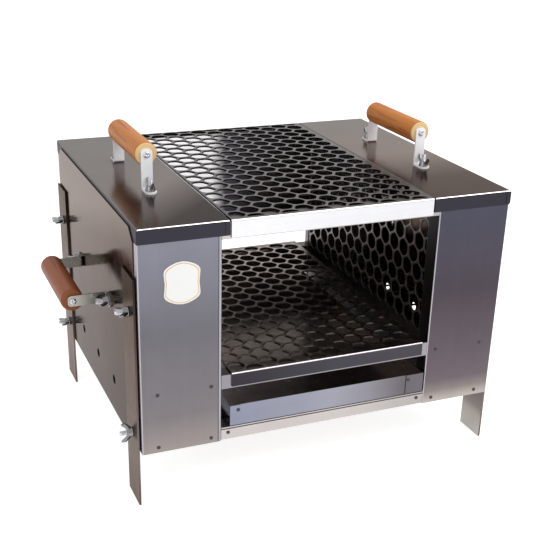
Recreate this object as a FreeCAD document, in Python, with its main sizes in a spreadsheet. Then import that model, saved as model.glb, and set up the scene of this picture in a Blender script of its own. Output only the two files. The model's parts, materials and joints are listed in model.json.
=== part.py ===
import FreeCAD, Part
import math
import os
from types import SimpleNamespace
import Sketcher
from FreeCAD import Placement, Rotation, Vector

# A knock-down charcoal grill of stainless sheet: two tall charcoal towers with punched inner
# walls, an open chamber between them with a top grill, a lower grill and a drip tray, carried by
# six cross rails on four flat strip legs. Millimetres, +Z up, front towards -Y.
# The origin is the middle of the plan, level with the ends of the legs.

SIZES = {
    # sheet thicknesses and the gaps between pieces
    "panel_sheet": 1.0,
    "rail_sheet": 1.0,
    "grill_sheet": 2.0,
    "mesh_sheet": 1.5,
    "leg_sheet": 2.5,
    "strap_sheet": 2.5,
    "label_sheet": 0.8,
    "seat_gap": 0.3,
    "fold_radius": 1.5,
    "cut_overrun": 5.0,
    # towers: distances from the middle plane, from the middle depth, and heights
    "tower_inner": 140.0,
    "tower_outer": 239.0,
    "tower_depth": 202.7,
    "tower_base": 73.5,
    "inner_fold": 25.0,
    "inner_lip": 12.0,
    "outer_fold": 46.0,
    "rear_inner": 149.5,
    "rear_fold": 12.7,
    # outer side panels
    "side_base": 70.5,
    "side_drop": 5.0,
    "side_depth": 190.0,
    "side_corner_run": 15.0,
    "side_corner_drop": 14.0,
    "air_hole_radius": 6.0,
    "air_hole_pitch": 82.0,
    "air_hole_height": 117.0,
    # legs
    "leg_width": 46.0,
    "leg_place": 173.0,
    "leg_height": 295.0,
    "leg_upper_bolt": 248.0,
    "leg_lower_bolt": 91.0,
    # lids
    "lid_top": 355.0,
    "lid_inner": 131.0,
    "lid_skirt": 18.0,
    "lid_play": 0.5,
    # cross rails
    "rail_flange": 20.0,
    "rail_setback": 0.8,
    "rail_ear": 12.0,
    "top_rail_height": 20.7,
    "middle_rail_height": 18.1,
    "bottom_rail_height": 16.5,
    "bottom_rail_base": 74.5,
    "rear_top_rail_height": 125.7,
    "rear_middle_rail_height": 40.0,
    # grills
    "grill_half_width": 129.5,
    "top_grill_flange": 21.2,
    "lower_grill_flange": 17.8,
    "lower_grill_top": 164.3,
    "lower_grill_shift": 2.2,
    # punched sheet
    "column_pitch": 21.1,
    "hole_pitch": 25.2,
    "hole_point_width": 24.4,
    "hole_flat_width": 21.5,
    "grill_side_border": 1.8,
    "grill_end_border": 6.0,
    "wall_border": 10.0,
    "wall_top_border": 5.0,
    "wall_top_drop": 2.5,
    "wall_plain_base": 86.4,
    "wall_flange_play": 1.0,
    # charcoal grates and ash floors
    "rivet_inset": 13.0,
    "rivet_outset": 20.0,
    "ash_rivet_height": 80.5,
    "coal_rivet_height": 150.3,
    "tab_below": 6.0,
    "tab_above": 7.0,
    "grate_play": 1.5,
    "grate_border": 6.0,
    # drip tray
    "tray_half_width": 133.5,
    "tray_shift": 4.5,
    "tray_front": 202.0,
    "tray_back": 196.0,
    "tray_height": 28.2,
    "tray_left_rivet": 10.5,
    "tray_right_rivet": 22.0,
    "tray_tab_margin": 3.0,
    "tray_rivet_drop": 6.5,
    "runner_width": 14.0,
    "runner_place": 131.0,
    "runner_rivet_height": 83.5,
    "runner_tab": 6.2,
    # handles
    "grip_radius": 14.25,
    "grip_round": 4.0,
    "strap_width": 14.0,
    "strap_place": 65.5,
    "strap_rise": 43.0,
    "strap_foot": 21.5,
    "strap_corner": 4.0,
    "strap_bend": 2.0,
    "stud_reach": 13.5,
    "lid_handle_place": 186.0,
    "side_handle_height": 223.5,
    # bolts, screws, rivets and wing nuts
    "bolt_radius": 3.0,
    "bolt_head_radius": 5.5,
    "bolt_head": 3.0,
    "bolt_tip": 2.5,
    "bolt_hole_play": 0.3,
    "screw_radius": 2.1,
    "screw_head_radius": 4.0,
    "screw_head": 2.2,
    "screw_length": 22.0,
    "screw_hole_play": 0.2,
    "rivet_radius": 1.5,
    "rivet_head_radius": 2.4,
    "rivet_head": 0.9,
    "rivet_hole_play": 0.1,
    "nut_play": 0.05,
    "nut_radius": 6.2,
    "nut_neck_radius": 5.0,
    "nut_hub": 6.5,
    "nut_height": 12.5,
    "nut_half_span": 11.8,
    "nut_wing_sheet": 2.2,
    # plain plate on the left front panel
    "label_left": 207.6,
    "label_right": 167.7,
    "label_base": 257.9,
    "label_top": 316.1,
    "label_round": 3.0,
}
# Phases of the punched pattern: where the first column and its first row fall, in hole pitches.
TOP_GRILL_PHASE_SHARE = -0.48
LOWER_GRILL_PHASE_SHARE = -0.42
WALL_PHASE_SHARE = -0.175
GRATE_PHASE_SHARE = 0.0
STAGGER_SHARE = 0.5
# A hole: the share of its half width where its flat sides end, and the smallest part kept.
SHOULDER_SHARE = 0.5
SMALLEST_HOLE_SHARE = 0.3
# Two places count as one when they differ by less than this share of a small size.
MATCH_SHARE = 0.01
# A rivet head: shares of its radius and height where the dome breaks.
DOME_SHARES = (0.6, 0.4)
# One wing of a wing nut: shares of its half span outwards and of its height upwards.
WING_SHARES = [
    (0.40, 0.06),
    (0.56, 0.10),
    (0.86, 0.50),
    (1.0, 0.82),
    (0.94, 1.0),
    (0.74, 0.97),
    (0.40, 0.50),
]

doc = FreeCAD.newDocument("charcoal_grill")
sheet = doc.addObject("Spreadsheet::Sheet", "sizes")
for row, (alias, number) in enumerate(SIZES.items(), start=1):
    sheet.set(f"A{row}", alias.replace("_", " "))
    sheet.set(f"B{row}", str(number))
    sheet.setAlias(f"B{row}", alias)
doc.recompute()


class Length:
    """A length of the sheet, or one worked out from it: its formula and its value in mm."""

    def __init__(self, formula, value):
        self.formula = formula
        self.value = value

    def joined(self, sign, other, value):
        return Length(f"({self.formula} {sign} {formula_of(other)})", value)

    def __add__(self, other):
        return self.joined("+", other, self.value + value_of(other))

    def __sub__(self, other):
        return self.joined("-", other, self.value - value_of(other))

    def __mul__(self, factor):
        return self.joined("*", factor, self.value * factor)

    def __truediv__(self, divisor):
        return self.joined("/", divisor, self.value / divisor)

    def __neg__(self):
        return self * -1


def formula_of(length):
    return length.formula if isinstance(length, Length) else f"({length})"


def value_of(length):
    return length.value if isinstance(length, Length) else length


lengths = {alias: Length(f"sizes.{alias}", float(sheet.get(alias))) for alias in SIZES}
size = SimpleNamespace(**lengths)

LEFT, RIGHT = -1, 1
FRONT, REAR = -1, 1
SIDE_NAMES = {LEFT: "left", RIGHT: "right"}
END_NAMES = {FRONT: "front", REAR: "rear"}
UP = Vector(0, 0, 1)
nodes = {}


def keep(name, piece):
    """Makes an object a kept piece of the grill under the given name."""
    piece.Label = name
    nodes[name] = piece
    return piece


def signed(side, inner, outer):
    """A span along one axis on the given side of the middle, lowest end first."""
    return (inner, outer) if side > 0 else (-outer, -inner)


def bind(thing, name, length):
    thing.setExpression(name, formula_of(length))


def new_body(name):
    return doc.addObject("PartDesign::Body", name)


def block(body, kind, spans):
    """An additive or subtractive box in a body, from its spans along X, Y and Z."""
    box = body.newObject(f"PartDesign::{kind}Box", f"{body.Name}_block")
    for extent, axis, (low, high) in zip(("Length", "Width", "Height"), "xyz", spans):
        bind(box, extent, high - low)
        bind(box, f"Placement.Base.{axis}", low)
    return box


def bore(body, kind, axis, start, radius, depth):
    """An additive or subtractive cylinder in a body, from its start along +X, +Y or +Z."""
    direction = Vector(*[float(axis == name) for name in "XYZ"])
    cylinder = body.newObject(f"PartDesign::{kind}Cylinder", f"{body.Name}_bore")
    cylinder.Placement = Placement(Vector(), Rotation(UP, direction))
    bind(cylinder, "Radius", radius)
    bind(cylinder, "Height", depth)
    for letter, distance in zip("xyz", start):
        bind(cylinder, f"Placement.Base.{letter}", distance)
    return cylinder


def drill_sheet(body, axis, centre, radius, thickness):
    """A round hole right through a sheet that is normal to X, Y or Z around the given centre."""
    start = list(centre)
    index = "XYZ".index(axis)
    start[index] = -(thickness + size.cut_overrun) + start[index]
    return bore(body, "Subtractive", axis, start, radius, (thickness + size.cut_overrun) * 2)


def round_edges(body, feature, radius, wanted):
    """Fillets the edges of a feature that the test picks."""
    doc.recompute()
    edges = enumerate(feature.Shape.Edges, start=1)
    fillet = body.newObject("PartDesign::Fillet", f"{body.Name}_round")
    fillet.Base = (feature, [f"Edge{number}" for number, edge in edges if wanted(edge)])
    bind(fillet, "Radius", radius)
    return fillet


def edge_runs(edge, axis):
    """True for a straight edge along the given axis."""
    start, end = edge.Vertexes[0].Point, edge.Vertexes[-1].Point
    run = end - start
    return abs(abs(run["XYZ".index(axis)]) - edge.Length) < edge.Length * MATCH_SHARE


def near(value, length):
    """True where a coordinate is the given length, within a share of a sheet's thickness."""
    return abs(value - value_of(length)) < value_of(size.panel_sheet) * MATCH_SHARE


def sketch_on(body, plane):
    """A sketch on one of the body's own origin planes."""
    sketch = body.newObject("Sketcher::SketchObject", f"{body.Name}_sketch")
    feature = next(item for item in body.Origin.OriginFeatures if item.Role == plane)
    sketch.AttachmentSupport = (feature, [""])
    sketch.MapMode = "FlatFace"
    return sketch


def fix_point(sketch, geometry, point, distances):
    for kind, length in zip(("DistanceX", "DistanceY"), distances):
        rule = Sketcher.Constraint(kind, -1, 1, geometry, point, value_of(length))
        index = sketch.addConstraint(rule)
        bind(sketch, f"Constraints[{index}]", length)


def draw_outline(sketch, points):
    """A closed outline of straight lines through the given places."""
    corners = [Vector(value_of(across), value_of(along), 0) for across, along in points]
    for number, start in enumerate(corners):
        sketch.addGeometry(Part.LineSegment(start, corners[(number + 1) % len(corners)]))
    for number, point in enumerate(points):
        line_before = (number - 1) % len(points)
        sketch.addConstraint(Sketcher.Constraint("Coincident", line_before, 2, number, 1))
        fix_point(sketch, number, 1, point)


def draw_circle(sketch, centre, radius):
    middle = Vector(value_of(centre[0]), value_of(centre[1]), 0)
    index = sketch.addGeometry(Part.Circle(middle, UP, value_of(radius)))
    fix_point(sketch, index, 3, centre)
    rule = sketch.addConstraint(Sketcher.Constraint("Radius", index, value_of(radius)))
    bind(sketch, f"Constraints[{rule}]", radius)


def pad(body, sketch, length, midplane=False):
    solid = body.newObject("PartDesign::Pad", f"{body.Name}_pad")
    solid.Profile = sketch
    solid.Midplane = midplane
    bind(solid, "Length", length)
    return solid


def turn(body, sketch):
    """Revolves a sketch on the XZ plane about the Z axis."""
    solid = body.newObject("PartDesign::Revolution", f"{body.Name}_turn")
    solid.Profile = sketch
    solid.ReferenceAxis = (sketch, ["V_Axis"])
    solid.Angle = 360
    return solid


def place(piece, rotation, base):
    piece.Placement = Placement(Vector(), rotation)
    for axis, length in zip("xyz", base):
        bind(piece, f"Placement.Base.{axis}", length)


def group(name, pieces):
    """Like pieces kept together as separate solids of one node."""
    bundle = doc.addObject("Part::Compound", name)
    bundle.Links = pieces
    return keep(name, bundle)


def tower_top():
    return size.lid_top - size.panel_sheet - size.seat_gap


def flange_top():
    return size.lid_top - size.lid_skirt - size.seat_gap


def side_inner():
    return size.tower_outer + size.seat_gap


def side_outer():
    return side_inner() + size.panel_sheet


def rail_face():
    return size.tower_depth - size.rail_setback


def rail_levels():
    """Each level's top of the rail and its height."""
    return {
        "top": (size.lid_top - size.grill_sheet - size.seat_gap, size.top_rail_height),
        "middle": (size.lower_grill_top - size.grill_sheet - size.seat_gap, size.middle_rail_height),
        "bottom": (size.bottom_rail_base + size.bottom_rail_height, size.bottom_rail_height),
    }


def rail_height(level, end):
    """The two upper rear rails are deeper sheets, which close the rear but for a gap over the lower grill."""
    rear_heights = {"top": size.rear_top_rail_height, "middle": size.rear_middle_rail_height}
    if end == REAR and level in rear_heights:
        return rear_heights[level]
    return rail_levels()[level][1]


def wall_inner():
    return size.rear_inner + size.panel_sheet


def wall_outer():
    return wall_inner() + size.mesh_sheet


def rivet_places(end):
    """Distances from the middle of the two rivet columns of a front or rear panel."""
    inner = size.tower_inner if end == FRONT else size.rear_inner
    return (inner + size.rivet_inset, size.tower_outer - size.rivet_outset)


# Front and rear panels: folded channels with a deep outer flange for the leg bolts
def panel_outline(side, end):
    inner = size.tower_inner if end == FRONT else size.rear_inner
    fold = size.inner_fold if end == FRONT else size.rear_fold
    outer, face, skin = size.tower_outer, size.tower_depth, size.panel_sheet
    points = [
        (inner, face),
        (outer, face),
        (outer, face - size.outer_fold),
        (outer - skin, face - size.outer_fold),
        (outer - skin, face - skin),
        (inner + skin, face - skin),
    ]
    if end == FRONT:
        points += [
            (inner + skin, face - fold + skin),
            (inner + size.inner_lip, face - fold + skin),
            (inner + size.inner_lip, face - fold),
            (inner, face - fold),
        ]
    else:
        points += [(inner + skin, face - fold), (inner, face - fold)]
    return [(across * side, along * end) for across, along in points]


def face_panel(side, end):
    name = f"{SIDE_NAMES[side]}_{END_NAMES[end]}_panel"
    body = new_body(name)
    sketch = sketch_on(body, "XY_Plane")
    draw_outline(sketch, panel_outline(side, end))
    shell = pad(body, sketch, tower_top() - size.tower_base)
    corner_y = value_of(size.tower_depth) * end
    round_edges(body, shell, size.fold_radius,
                lambda edge: edge_runs(edge, "Z") and near(edge.CenterOfMass.y, corner_y))
    place(body, Rotation(), (0, 0, size.tower_base))
    # the notch leaves room for the lid's outer skirt
    notch_inner = size.tower_outer - size.panel_sheet - size.seat_gap
    notch = signed(side, notch_inner, size.tower_outer + size.cut_overrun)
    depth = signed(end, size.side_depth - size.outer_fold, size.tower_depth + size.cut_overrun)
    top = tower_top() - size.tower_base
    block(body, "Subtractive", (notch, depth, (flange_top() - size.tower_base, top + size.cut_overrun)))
    for height in (size.leg_upper_bolt, size.leg_lower_bolt):
        centre = (size.tower_outer * side, size.leg_place * end, height - size.tower_base)
        drill_sheet(body, "X", centre, size.bolt_radius + size.bolt_hole_play, size.panel_sheet)
    for across in rivet_places(end):
        for height in (size.ash_rivet_height, size.coal_rivet_height):
            centre = (across * side, size.tower_depth * end, height - size.tower_base)
            drill_sheet(body, "Y", centre, size.rivet_radius + size.rivet_hole_play, size.panel_sheet)
    return keep(name, body)


# Outer side panels: flat sheets with cut top corners and three air holes
def side_panel(side):
    name = f"{SIDE_NAMES[side]}_side_panel"
    body = new_body(name)
    sketch = sketch_on(body, "YZ_Plane")
    depth, top = size.side_depth, size.lid_top - size.side_drop
    run, drop = size.side_corner_run, size.side_corner_drop
    draw_outline(sketch, [
        (-depth, size.side_base),
        (depth, size.side_base),
        (depth, top - drop),
        (depth - run, top),
        (-depth + run, top),
        (-depth, top - drop),
    ])
    for step in (-1, 0, 1):
        draw_circle(sketch, (size.air_hole_pitch * step, size.air_hole_height), size.air_hole_radius)
    for end in (FRONT, REAR):
        for height in (size.leg_upper_bolt, size.leg_lower_bolt):
            draw_circle(sketch, (size.leg_place * end, height), size.bolt_radius + size.bolt_hole_play)
        stud = (size.strap_place + size.stud_reach) * end
        draw_circle(sketch, (stud, size.side_handle_height), size.bolt_radius + size.bolt_hole_play)
    pad(body, sketch, size.panel_sheet)
    place(body, Rotation(), (signed(side, side_inner(), side_outer())[0], 0, 0))
    return keep(name, body)


# Legs: flat strips bolted outside the side panels
def leg(side, end):
    name = f"{SIDE_NAMES[side]}_{END_NAMES[end]}_leg"
    body = new_body(name)
    sketch = sketch_on(body, "YZ_Plane")
    middle, half = size.leg_place * end, size.leg_width / 2
    draw_outline(sketch, [
        (middle - half, 0),
        (middle + half, 0),
        (middle + half, size.leg_height),
        (middle - half, size.leg_height),
    ])
    for height in (size.leg_upper_bolt, size.leg_lower_bolt):
        draw_circle(sketch, (middle, height), size.bolt_radius + size.bolt_hole_play)
    pad(body, sketch, size.leg_sheet)
    place(body, Rotation(), (signed(side, side_outer(), side_outer() + size.leg_sheet)[0], 0, 0))
    return keep(name, body)


# Lids: shallow folded covers whose skirts hang outside the front and rear panels
def lid(side):
    name = f"{SIDE_NAMES[side]}_lid"
    body = new_body(name)
    skin = size.panel_sheet
    depth = size.tower_depth + size.lid_play + skin
    base = size.lid_top - size.lid_skirt
    outside = signed(side, size.lid_inner, size.tower_outer)
    shell = block(body, "Additive", (outside, (-depth, depth), (base, size.lid_top)))
    round_edges(body, shell, size.fold_radius,
                lambda edge: near(edge.CenterOfMass.z, size.lid_top) and edge_runs(edge, "X"))
    inside = signed(side, size.lid_inner + skin, size.tower_outer - skin)
    clear_depth = (-depth + skin, depth - skin)
    block(body, "Subtractive", (inside, clear_depth, (base - size.cut_overrun, size.lid_top - skin)))
    # the inner edge is a narrow hem that passes over the ends of the rails
    hem = signed(side, size.lid_inner - size.cut_overrun, size.lid_inner + skin)
    hem_base = rail_levels()["top"][0] + size.seat_gap
    block(body, "Subtractive", (hem, clear_depth, (base - size.cut_overrun, hem_base)))
    for end in (FRONT, REAR):
        stud = (size.strap_place + size.stud_reach) * end
        centre = (size.lid_handle_place * side, stud, size.lid_top)
        drill_sheet(body, "Z", centre, size.bolt_radius + size.bolt_hole_play, skin)
    return keep(name, body)


# Cross rails: folded angles with ears welded to the towers' inner folds
def cross_rail(level, end):
    name = f"{level}_{END_NAMES[end]}_rail"
    body = new_body(name)
    top, height = rail_levels()[level][0], rail_height(level, end)
    half = size.tower_inner if end == FRONT else size.rear_inner
    face, skin = rail_face(), size.rail_sheet
    block(body, "Additive", ((-half, half), signed(end, face - skin, face), (top - height, top)))
    block(body, "Additive", ((-half, half), signed(end, face - size.rail_flange, face), (top - skin, top)))
    for side in (LEFT, RIGHT):
        ear = signed(side, half - skin, half)
        block(body, "Additive", (ear, signed(end, face - size.rail_ear, face), (top - height, top)))
        if level == "bottom":
            centre = (size.runner_place * side, face * end, size.runner_rivet_height)
            drill_sheet(body, "Y", centre, size.rivet_radius + size.rivet_hole_play, skin)
    return keep(name, body)


# Punched sheet: rows of six-sided holes whose points face along the local X axis
def clamp(value, low, high):
    return max(low, min(high, value))


def hole_wire(centre_x, centre_y, field):
    """One six-sided hole, cut short at the plain border, or None where too little is left."""
    half, flat = value_of(size.hole_point_width) / 2, value_of(size.hole_flat_width) / 2
    shoulder = half * SHOULDER_SHARE
    corners = [
        (half, 0),
        (shoulder, flat),
        (-shoulder, flat),
        (-half, 0),
        (-shoulder, -flat),
        (shoulder, -flat),
    ]
    low_x, low_y, high_x, high_y = field
    points = []
    for across, along in corners:
        point_x = clamp(centre_x + across, low_x, high_x)
        point = Vector(point_x, clamp(centre_y + along, low_y, high_y), 0)
        if not points or (point - points[-1]).Length > flat * MATCH_SHARE:
            points.append(point)
    width = max(point.x for point in points) - min(point.x for point in points)
    length = max(point.y for point in points) - min(point.y for point in points)
    if min(width / (2 * half), length / (2 * flat)) < SMALLEST_HOLE_SHARE:
        return None
    return Part.makePolygon(points + points[:1])


def punched_sheet(extent, field, first_column, phase_share, thickness):
    """A flat sheet in the local XY plane with staggered columns of holes inside its field."""
    low_x, low_y, high_x, high_y = extent
    corners = [
        Vector(low_x, low_y),
        Vector(high_x, low_y),
        Vector(high_x, high_y),
        Vector(low_x, high_y),
    ]
    wires = [Part.makePolygon(corners + corners[:1])]
    column_pitch, hole_pitch = value_of(size.column_pitch), value_of(size.hole_pitch)
    # columns and rows past the field's edge leave no hole and are dropped
    columns = 1 + math.ceil((field[2] - first_column) / column_pitch)
    rows = 1 + math.ceil((field[3] - field[1]) / hole_pitch)
    for column in range(columns):
        centre_x = first_column + column * column_pitch
        stagger_share = phase_share + STAGGER_SHARE * (column % 2)
        for row in range(-rows, rows + 1):
            wire = hole_wire(centre_x, (row + stagger_share) * hole_pitch, field)
            if wire:
                wires.append(wire)
    face = Part.makeFace(Part.makeCompound(wires), "Part::FaceMakerBullseye")
    return face.extrude(Vector(0, 0, thickness))


def solid_box(spans):
    """A plain box from spans of values along X, Y and Z."""
    lowest = [value_of(low) for low, high in spans]
    extents = [value_of(high) - value_of(low) for low, high in spans]
    return Part.makeBox(*extents, Vector(*lowest))


def keep_shape(name, shape):
    piece = doc.addObject("Part::Feature", name)
    piece.Shape = shape
    return keep(name, piece)


# Grills: one punched sheet with a folded flange that hooks over the front and rear rails
def grill(name, top, flange, shift):
    half, skin = size.grill_half_width, size.grill_sheet
    depth = rail_face() + size.seat_gap + skin
    extent = [value_of(length) for length in (-half, -depth, half, depth)]
    side_border, end_border = size.grill_side_border, size.grill_end_border
    field = [value_of(length) for length in
             (-half + side_border, -depth + end_border, half - side_border, depth - end_border)]
    first_column = value_of(-half + size.hole_point_width / 2 - size.grill_side_border)
    phase = TOP_GRILL_PHASE_SHARE if name == "top_grill" else LOWER_GRILL_PHASE_SHARE
    shape = punched_sheet(extent, field, first_column, phase, value_of(skin))
    for end in (FRONT, REAR):
        flange_depth = signed(end, depth - skin, depth)
        flange_box = solid_box(((-half, half), flange_depth, (skin - flange, skin)))
        rounded = []
        for edge in flange_box.Edges:
            middle = edge.CenterOfMass
            if edge_runs(edge, "X") and near(middle.z, skin) and near(middle.y, depth * end):
                rounded.append(edge)
        shape = shape.fuse(flange_box.makeFillet(value_of(size.fold_radius), rounded))
    piece = keep_shape(name, shape)
    place(piece, Rotation(), (shift, 0, top - skin))
    return piece


# Mesh walls: punched inner walls of the towers, with a front flange behind the panel's lip
def mesh_wall_shape():
    """The right wall; the sheet's local X becomes its height."""
    base, top = size.tower_base + size.seat_gap, tower_top() - size.wall_top_drop
    front = -(size.tower_depth - size.inner_fold)
    back = size.tower_depth - size.panel_sheet - size.seat_gap
    extent = [value_of(length) for length in (base, front, top, back)]
    field_back = size.tower_depth - size.rear_fold - size.seat_gap
    field_base, field_front = base + size.wall_plain_base, front + size.wall_border
    field_top = top - size.wall_top_border
    field = [value_of(length) for length in (field_base, field_front, field_top, field_back)]
    first_column = field[0] + value_of(size.hole_point_width) / 2
    thickness = value_of(size.mesh_sheet)
    flat = punched_sheet(extent, field, first_column, WALL_PHASE_SHARE, thickness)
    upright = Placement(Vector(value_of(wall_outer()), 0, 0), Rotation(Vector(0, 1, 0), -90))
    flat.transformShape(upright.toMatrix())
    flange = (size.tower_inner + size.panel_sheet + size.wall_flange_play, wall_outer())
    return flat.fuse(solid_box((flange, (front, front + size.mesh_sheet), (base, top))))


# Charcoal grates and ash floors: sheets with end tabs riveted inside the front and rear panels
def floor_span():
    return (wall_outer() + size.seat_gap, size.tower_outer - size.grate_play)


def tab_span(end):
    if end == FRONT:
        return (size.tower_inner + size.panel_sheet + size.seat_gap, floor_span()[1])
    return floor_span()


def tab_depth(end, thickness):
    face = size.tower_depth - size.panel_sheet
    return signed(end, face - thickness, face)


def coal_grate_shape():
    """The right charcoal grate, whose end tabs hang below it."""
    low, high = floor_span()
    depth = size.tower_depth - size.panel_sheet
    extent = [value_of(length) for length in (low, -depth, high, depth)]
    border = size.grate_border
    field_edges = (low + border, -depth + border, high - border, depth - border)
    field = [value_of(length) for length in field_edges]
    first_column = field[0] + value_of(size.hole_point_width) / 2
    thickness = size.mesh_sheet
    top = size.coal_rivet_height + size.tab_above
    shape = punched_sheet(extent, field, first_column, GRATE_PHASE_SHARE, value_of(thickness))
    shape.translate(Vector(0, 0, value_of(top - thickness)))
    for end in (FRONT, REAR):
        heights = (size.coal_rivet_height - size.tab_below, top)
        tab = solid_box((tab_span(end), tab_depth(end, thickness), heights))
        for across in rivet_places(end):
            start = Vector(value_of(across), -value_of(size.cut_overrun), value_of(size.coal_rivet_height))
            start.y += value_of(tab_depth(end, thickness)[0])
            radius = value_of(size.rivet_radius + size.rivet_hole_play)
            reach = value_of(thickness + size.cut_overrun * 2)
            tab = tab.cut(Part.makeCylinder(radius, reach, start, Vector(0, 1, 0)))
        shape = shape.fuse(tab)
    return shape


def keep_mirrored(name, shape):
    """The same piece on both sides of the grill."""
    keep_shape(f"right_{name}", shape)
    keep_shape(f"left_{name}", shape.mirror(Vector(), Vector(1, 0, 0)))


def ash_floor(side):
    body = new_body(f"{SIDE_NAMES[side]}_ash_floor")
    low, high = floor_span()
    skin = size.panel_sheet
    depth = size.tower_depth - skin
    base = size.ash_rivet_height - size.tab_below
    block(body, "Additive", (signed(side, low, high), (-depth, depth), (base, base + skin)))
    for end in (FRONT, REAR):
        heights = (base, size.ash_rivet_height + size.tab_above)
        block(body, "Additive", (signed(side, *tab_span(end)), tab_depth(end, skin), heights))
        for across in rivet_places(end):
            centre = (across * side, depth * end, size.ash_rivet_height)
            drill_sheet(body, "Y", centre, size.rivet_radius + size.rivet_hole_play, skin)
    return keep(body.Label, body)


# Drip tray: a folded box whose side walls end in tabs riveted outside its front and rear walls
def tray_rivet_place(side):
    """Signed distance of a tray rivet from the middle plane."""
    inset = size.tray_left_rivet if side == LEFT else size.tray_right_rivet
    return size.tray_shift + (size.tray_half_width - inset) * side


def tray_wall(end):
    return size.tray_front if end == FRONT else size.tray_back


def tray_base():
    return rail_levels()["bottom"][0] + size.seat_gap


def drip_tray():
    body = new_body("drip_tray")
    skin = size.panel_sheet
    low, high = size.tray_shift - size.tray_half_width, size.tray_shift + size.tray_half_width
    base, top = tray_base(), tray_base() + size.tray_height
    shell = block(body, "Additive", ((low, high), (-size.tray_front, size.tray_back), (base, top)))
    round_edges(body, shell, size.fold_radius, lambda edge: near(edge.CenterOfMass.z, base))
    block(body, "Subtractive", (
        (low + skin, high - skin),
        (-size.tray_front + skin, size.tray_back - skin),
        (base + skin, top + size.cut_overrun),
    ))
    for end in (FRONT, REAR):
        wall = tray_wall(end)
        for side in (LEFT, RIGHT):
            edge = size.tray_shift + size.tray_half_width * side
            tab_end = tray_rivet_place(side) - size.tray_tab_margin * side
            across = (edge, tab_end) if side == LEFT else (tab_end, edge)
            heights = (base + size.fold_radius, top)
            block(body, "Additive", (across, signed(end, wall, wall + skin), heights))
            centre = (tray_rivet_place(side), wall * end, top - size.tray_rivet_drop)
            drill_sheet(body, "Y", centre, size.rivet_radius + size.rivet_hole_play, skin)
    return keep("drip_tray", body)


# Tray runners: two strips under the tray, stepped up between the bottom rails' flanges
def tray_runner(side):
    body = new_body(f"tray_runner_{SIDE_NAMES[side]}")
    skin = size.rail_sheet
    end_face = rail_face() - skin
    step = rail_face() - size.rail_flange - size.seat_gap
    top = rail_levels()["bottom"][0]
    low = top - skin - size.seat_gap
    foot = size.runner_rivet_height - size.runner_tab
    half_outline = [
        (end_face, foot),
        (end_face, low),
        (step, low),
        (step, top),
    ]
    half_inside = [
        (step - skin, top - skin),
        (step - skin, low - skin),
        (end_face - skin, low - skin),
        (end_face - skin, foot),
    ]
    outer = half_outline + [(-along, height) for along, height in reversed(half_outline)]
    inner = [(-along, height) for along, height in reversed(half_inside)] + half_inside
    sketch = sketch_on(body, "YZ_Plane")
    draw_outline(sketch, outer + inner)
    pad(body, sketch, size.runner_width)
    for end in (FRONT, REAR):
        centre = (size.runner_width / 2, end_face * end, size.runner_rivet_height)
        drill_sheet(body, "Y", centre, size.rivet_radius + size.rivet_hole_play, skin)
    place(body, Rotation(), (size.runner_place * side - size.runner_width / 2, 0, 0))
    return body


# Label plate: a plain plate on the left front panel
def label_plate():
    body = new_body("label_plate")
    face = size.tower_depth
    plate = block(body, "Additive", (
        (-size.label_left, -size.label_right),
        (-face - size.label_sheet, -face),
        (size.label_base, size.label_top),
    ))
    round_edges(body, plate, size.label_round, lambda edge: edge_runs(edge, "Y"))
    return keep("label_plate", body)


# Round fasteners, turned about their own axis; the seat of each lies at its local zero height
def turned_body(name, profile):
    body = new_body(name)
    sketch = sketch_on(body, "XZ_Plane")
    draw_outline(sketch, profile)
    turn(body, sketch)
    return body


def bolt(name, stack):
    """A round-headed bolt through a stack of sheets, long enough for its wing nut."""
    reach = stack + size.seat_gap + size.nut_height + size.bolt_tip
    return turned_body(name, [
        (0, -size.bolt_head),
        (size.bolt_head_radius * DOME_SHARES[0], -size.bolt_head),
        (size.bolt_head_radius, -size.bolt_head * DOME_SHARES[1]),
        (size.bolt_head_radius, 0),
        (size.bolt_radius, 0),
        (size.bolt_radius, reach),
        (0, reach),
    ])


def screw(name):
    return turned_body(name, [
        (0, size.screw_head),
        (size.screw_head_radius * DOME_SHARES[0], size.screw_head),
        (size.screw_head_radius, size.screw_head * DOME_SHARES[1]),
        (size.screw_head_radius, 0),
        (size.screw_radius, 0),
        (size.screw_radius, -size.screw_length),
        (0, -size.screw_length),
    ])


def rivet(name, stack):
    head, radius = size.rivet_head, size.rivet_head_radius
    return turned_body(name, [
        (0, head),
        (radius * DOME_SHARES[0], head),
        (radius, head * DOME_SHARES[1]),
        (radius, 0),
        (size.rivet_radius, 0),
        (size.rivet_radius, -stack),
        (radius, -stack),
        (radius, -stack - head),
        (0, -stack - head),
    ])


def wing_nut(name):
    """A hub with two flared wings in its local XZ plane."""
    hole = size.bolt_radius + size.nut_play
    body = turned_body(name, [
        (hole, 0),
        (size.nut_radius, 0),
        (size.nut_neck_radius, size.nut_hub),
        (hole, size.nut_hub),
    ])
    for side in (LEFT, RIGHT):
        sketch = sketch_on(body, "XZ_Plane")
        half_span = size.nut_half_span * side
        draw_outline(sketch, [(half_span * out, size.nut_height * up) for out, up in WING_SHARES])
        pad(body, sketch, size.nut_wing_sheet, midplane=True)
    return keep(name, body)


# Handles: a turned wooden grip between two straps, the same on a lid and on a side panel
WINGS_ALONG_DEPTH = Rotation(UP, 90)


def handle_seat(kind, side, along, rise):
    """How a handle piece is turned and where it sits, from its height above the sheet below it."""
    if kind == "lid":
        return Rotation(), (size.lid_handle_place * side, along, size.lid_top + rise)
    base = ((side_outer() + rise) * side, along, size.side_handle_height)
    return Rotation(Vector(0, 1, 0), 90 * side), base


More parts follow.
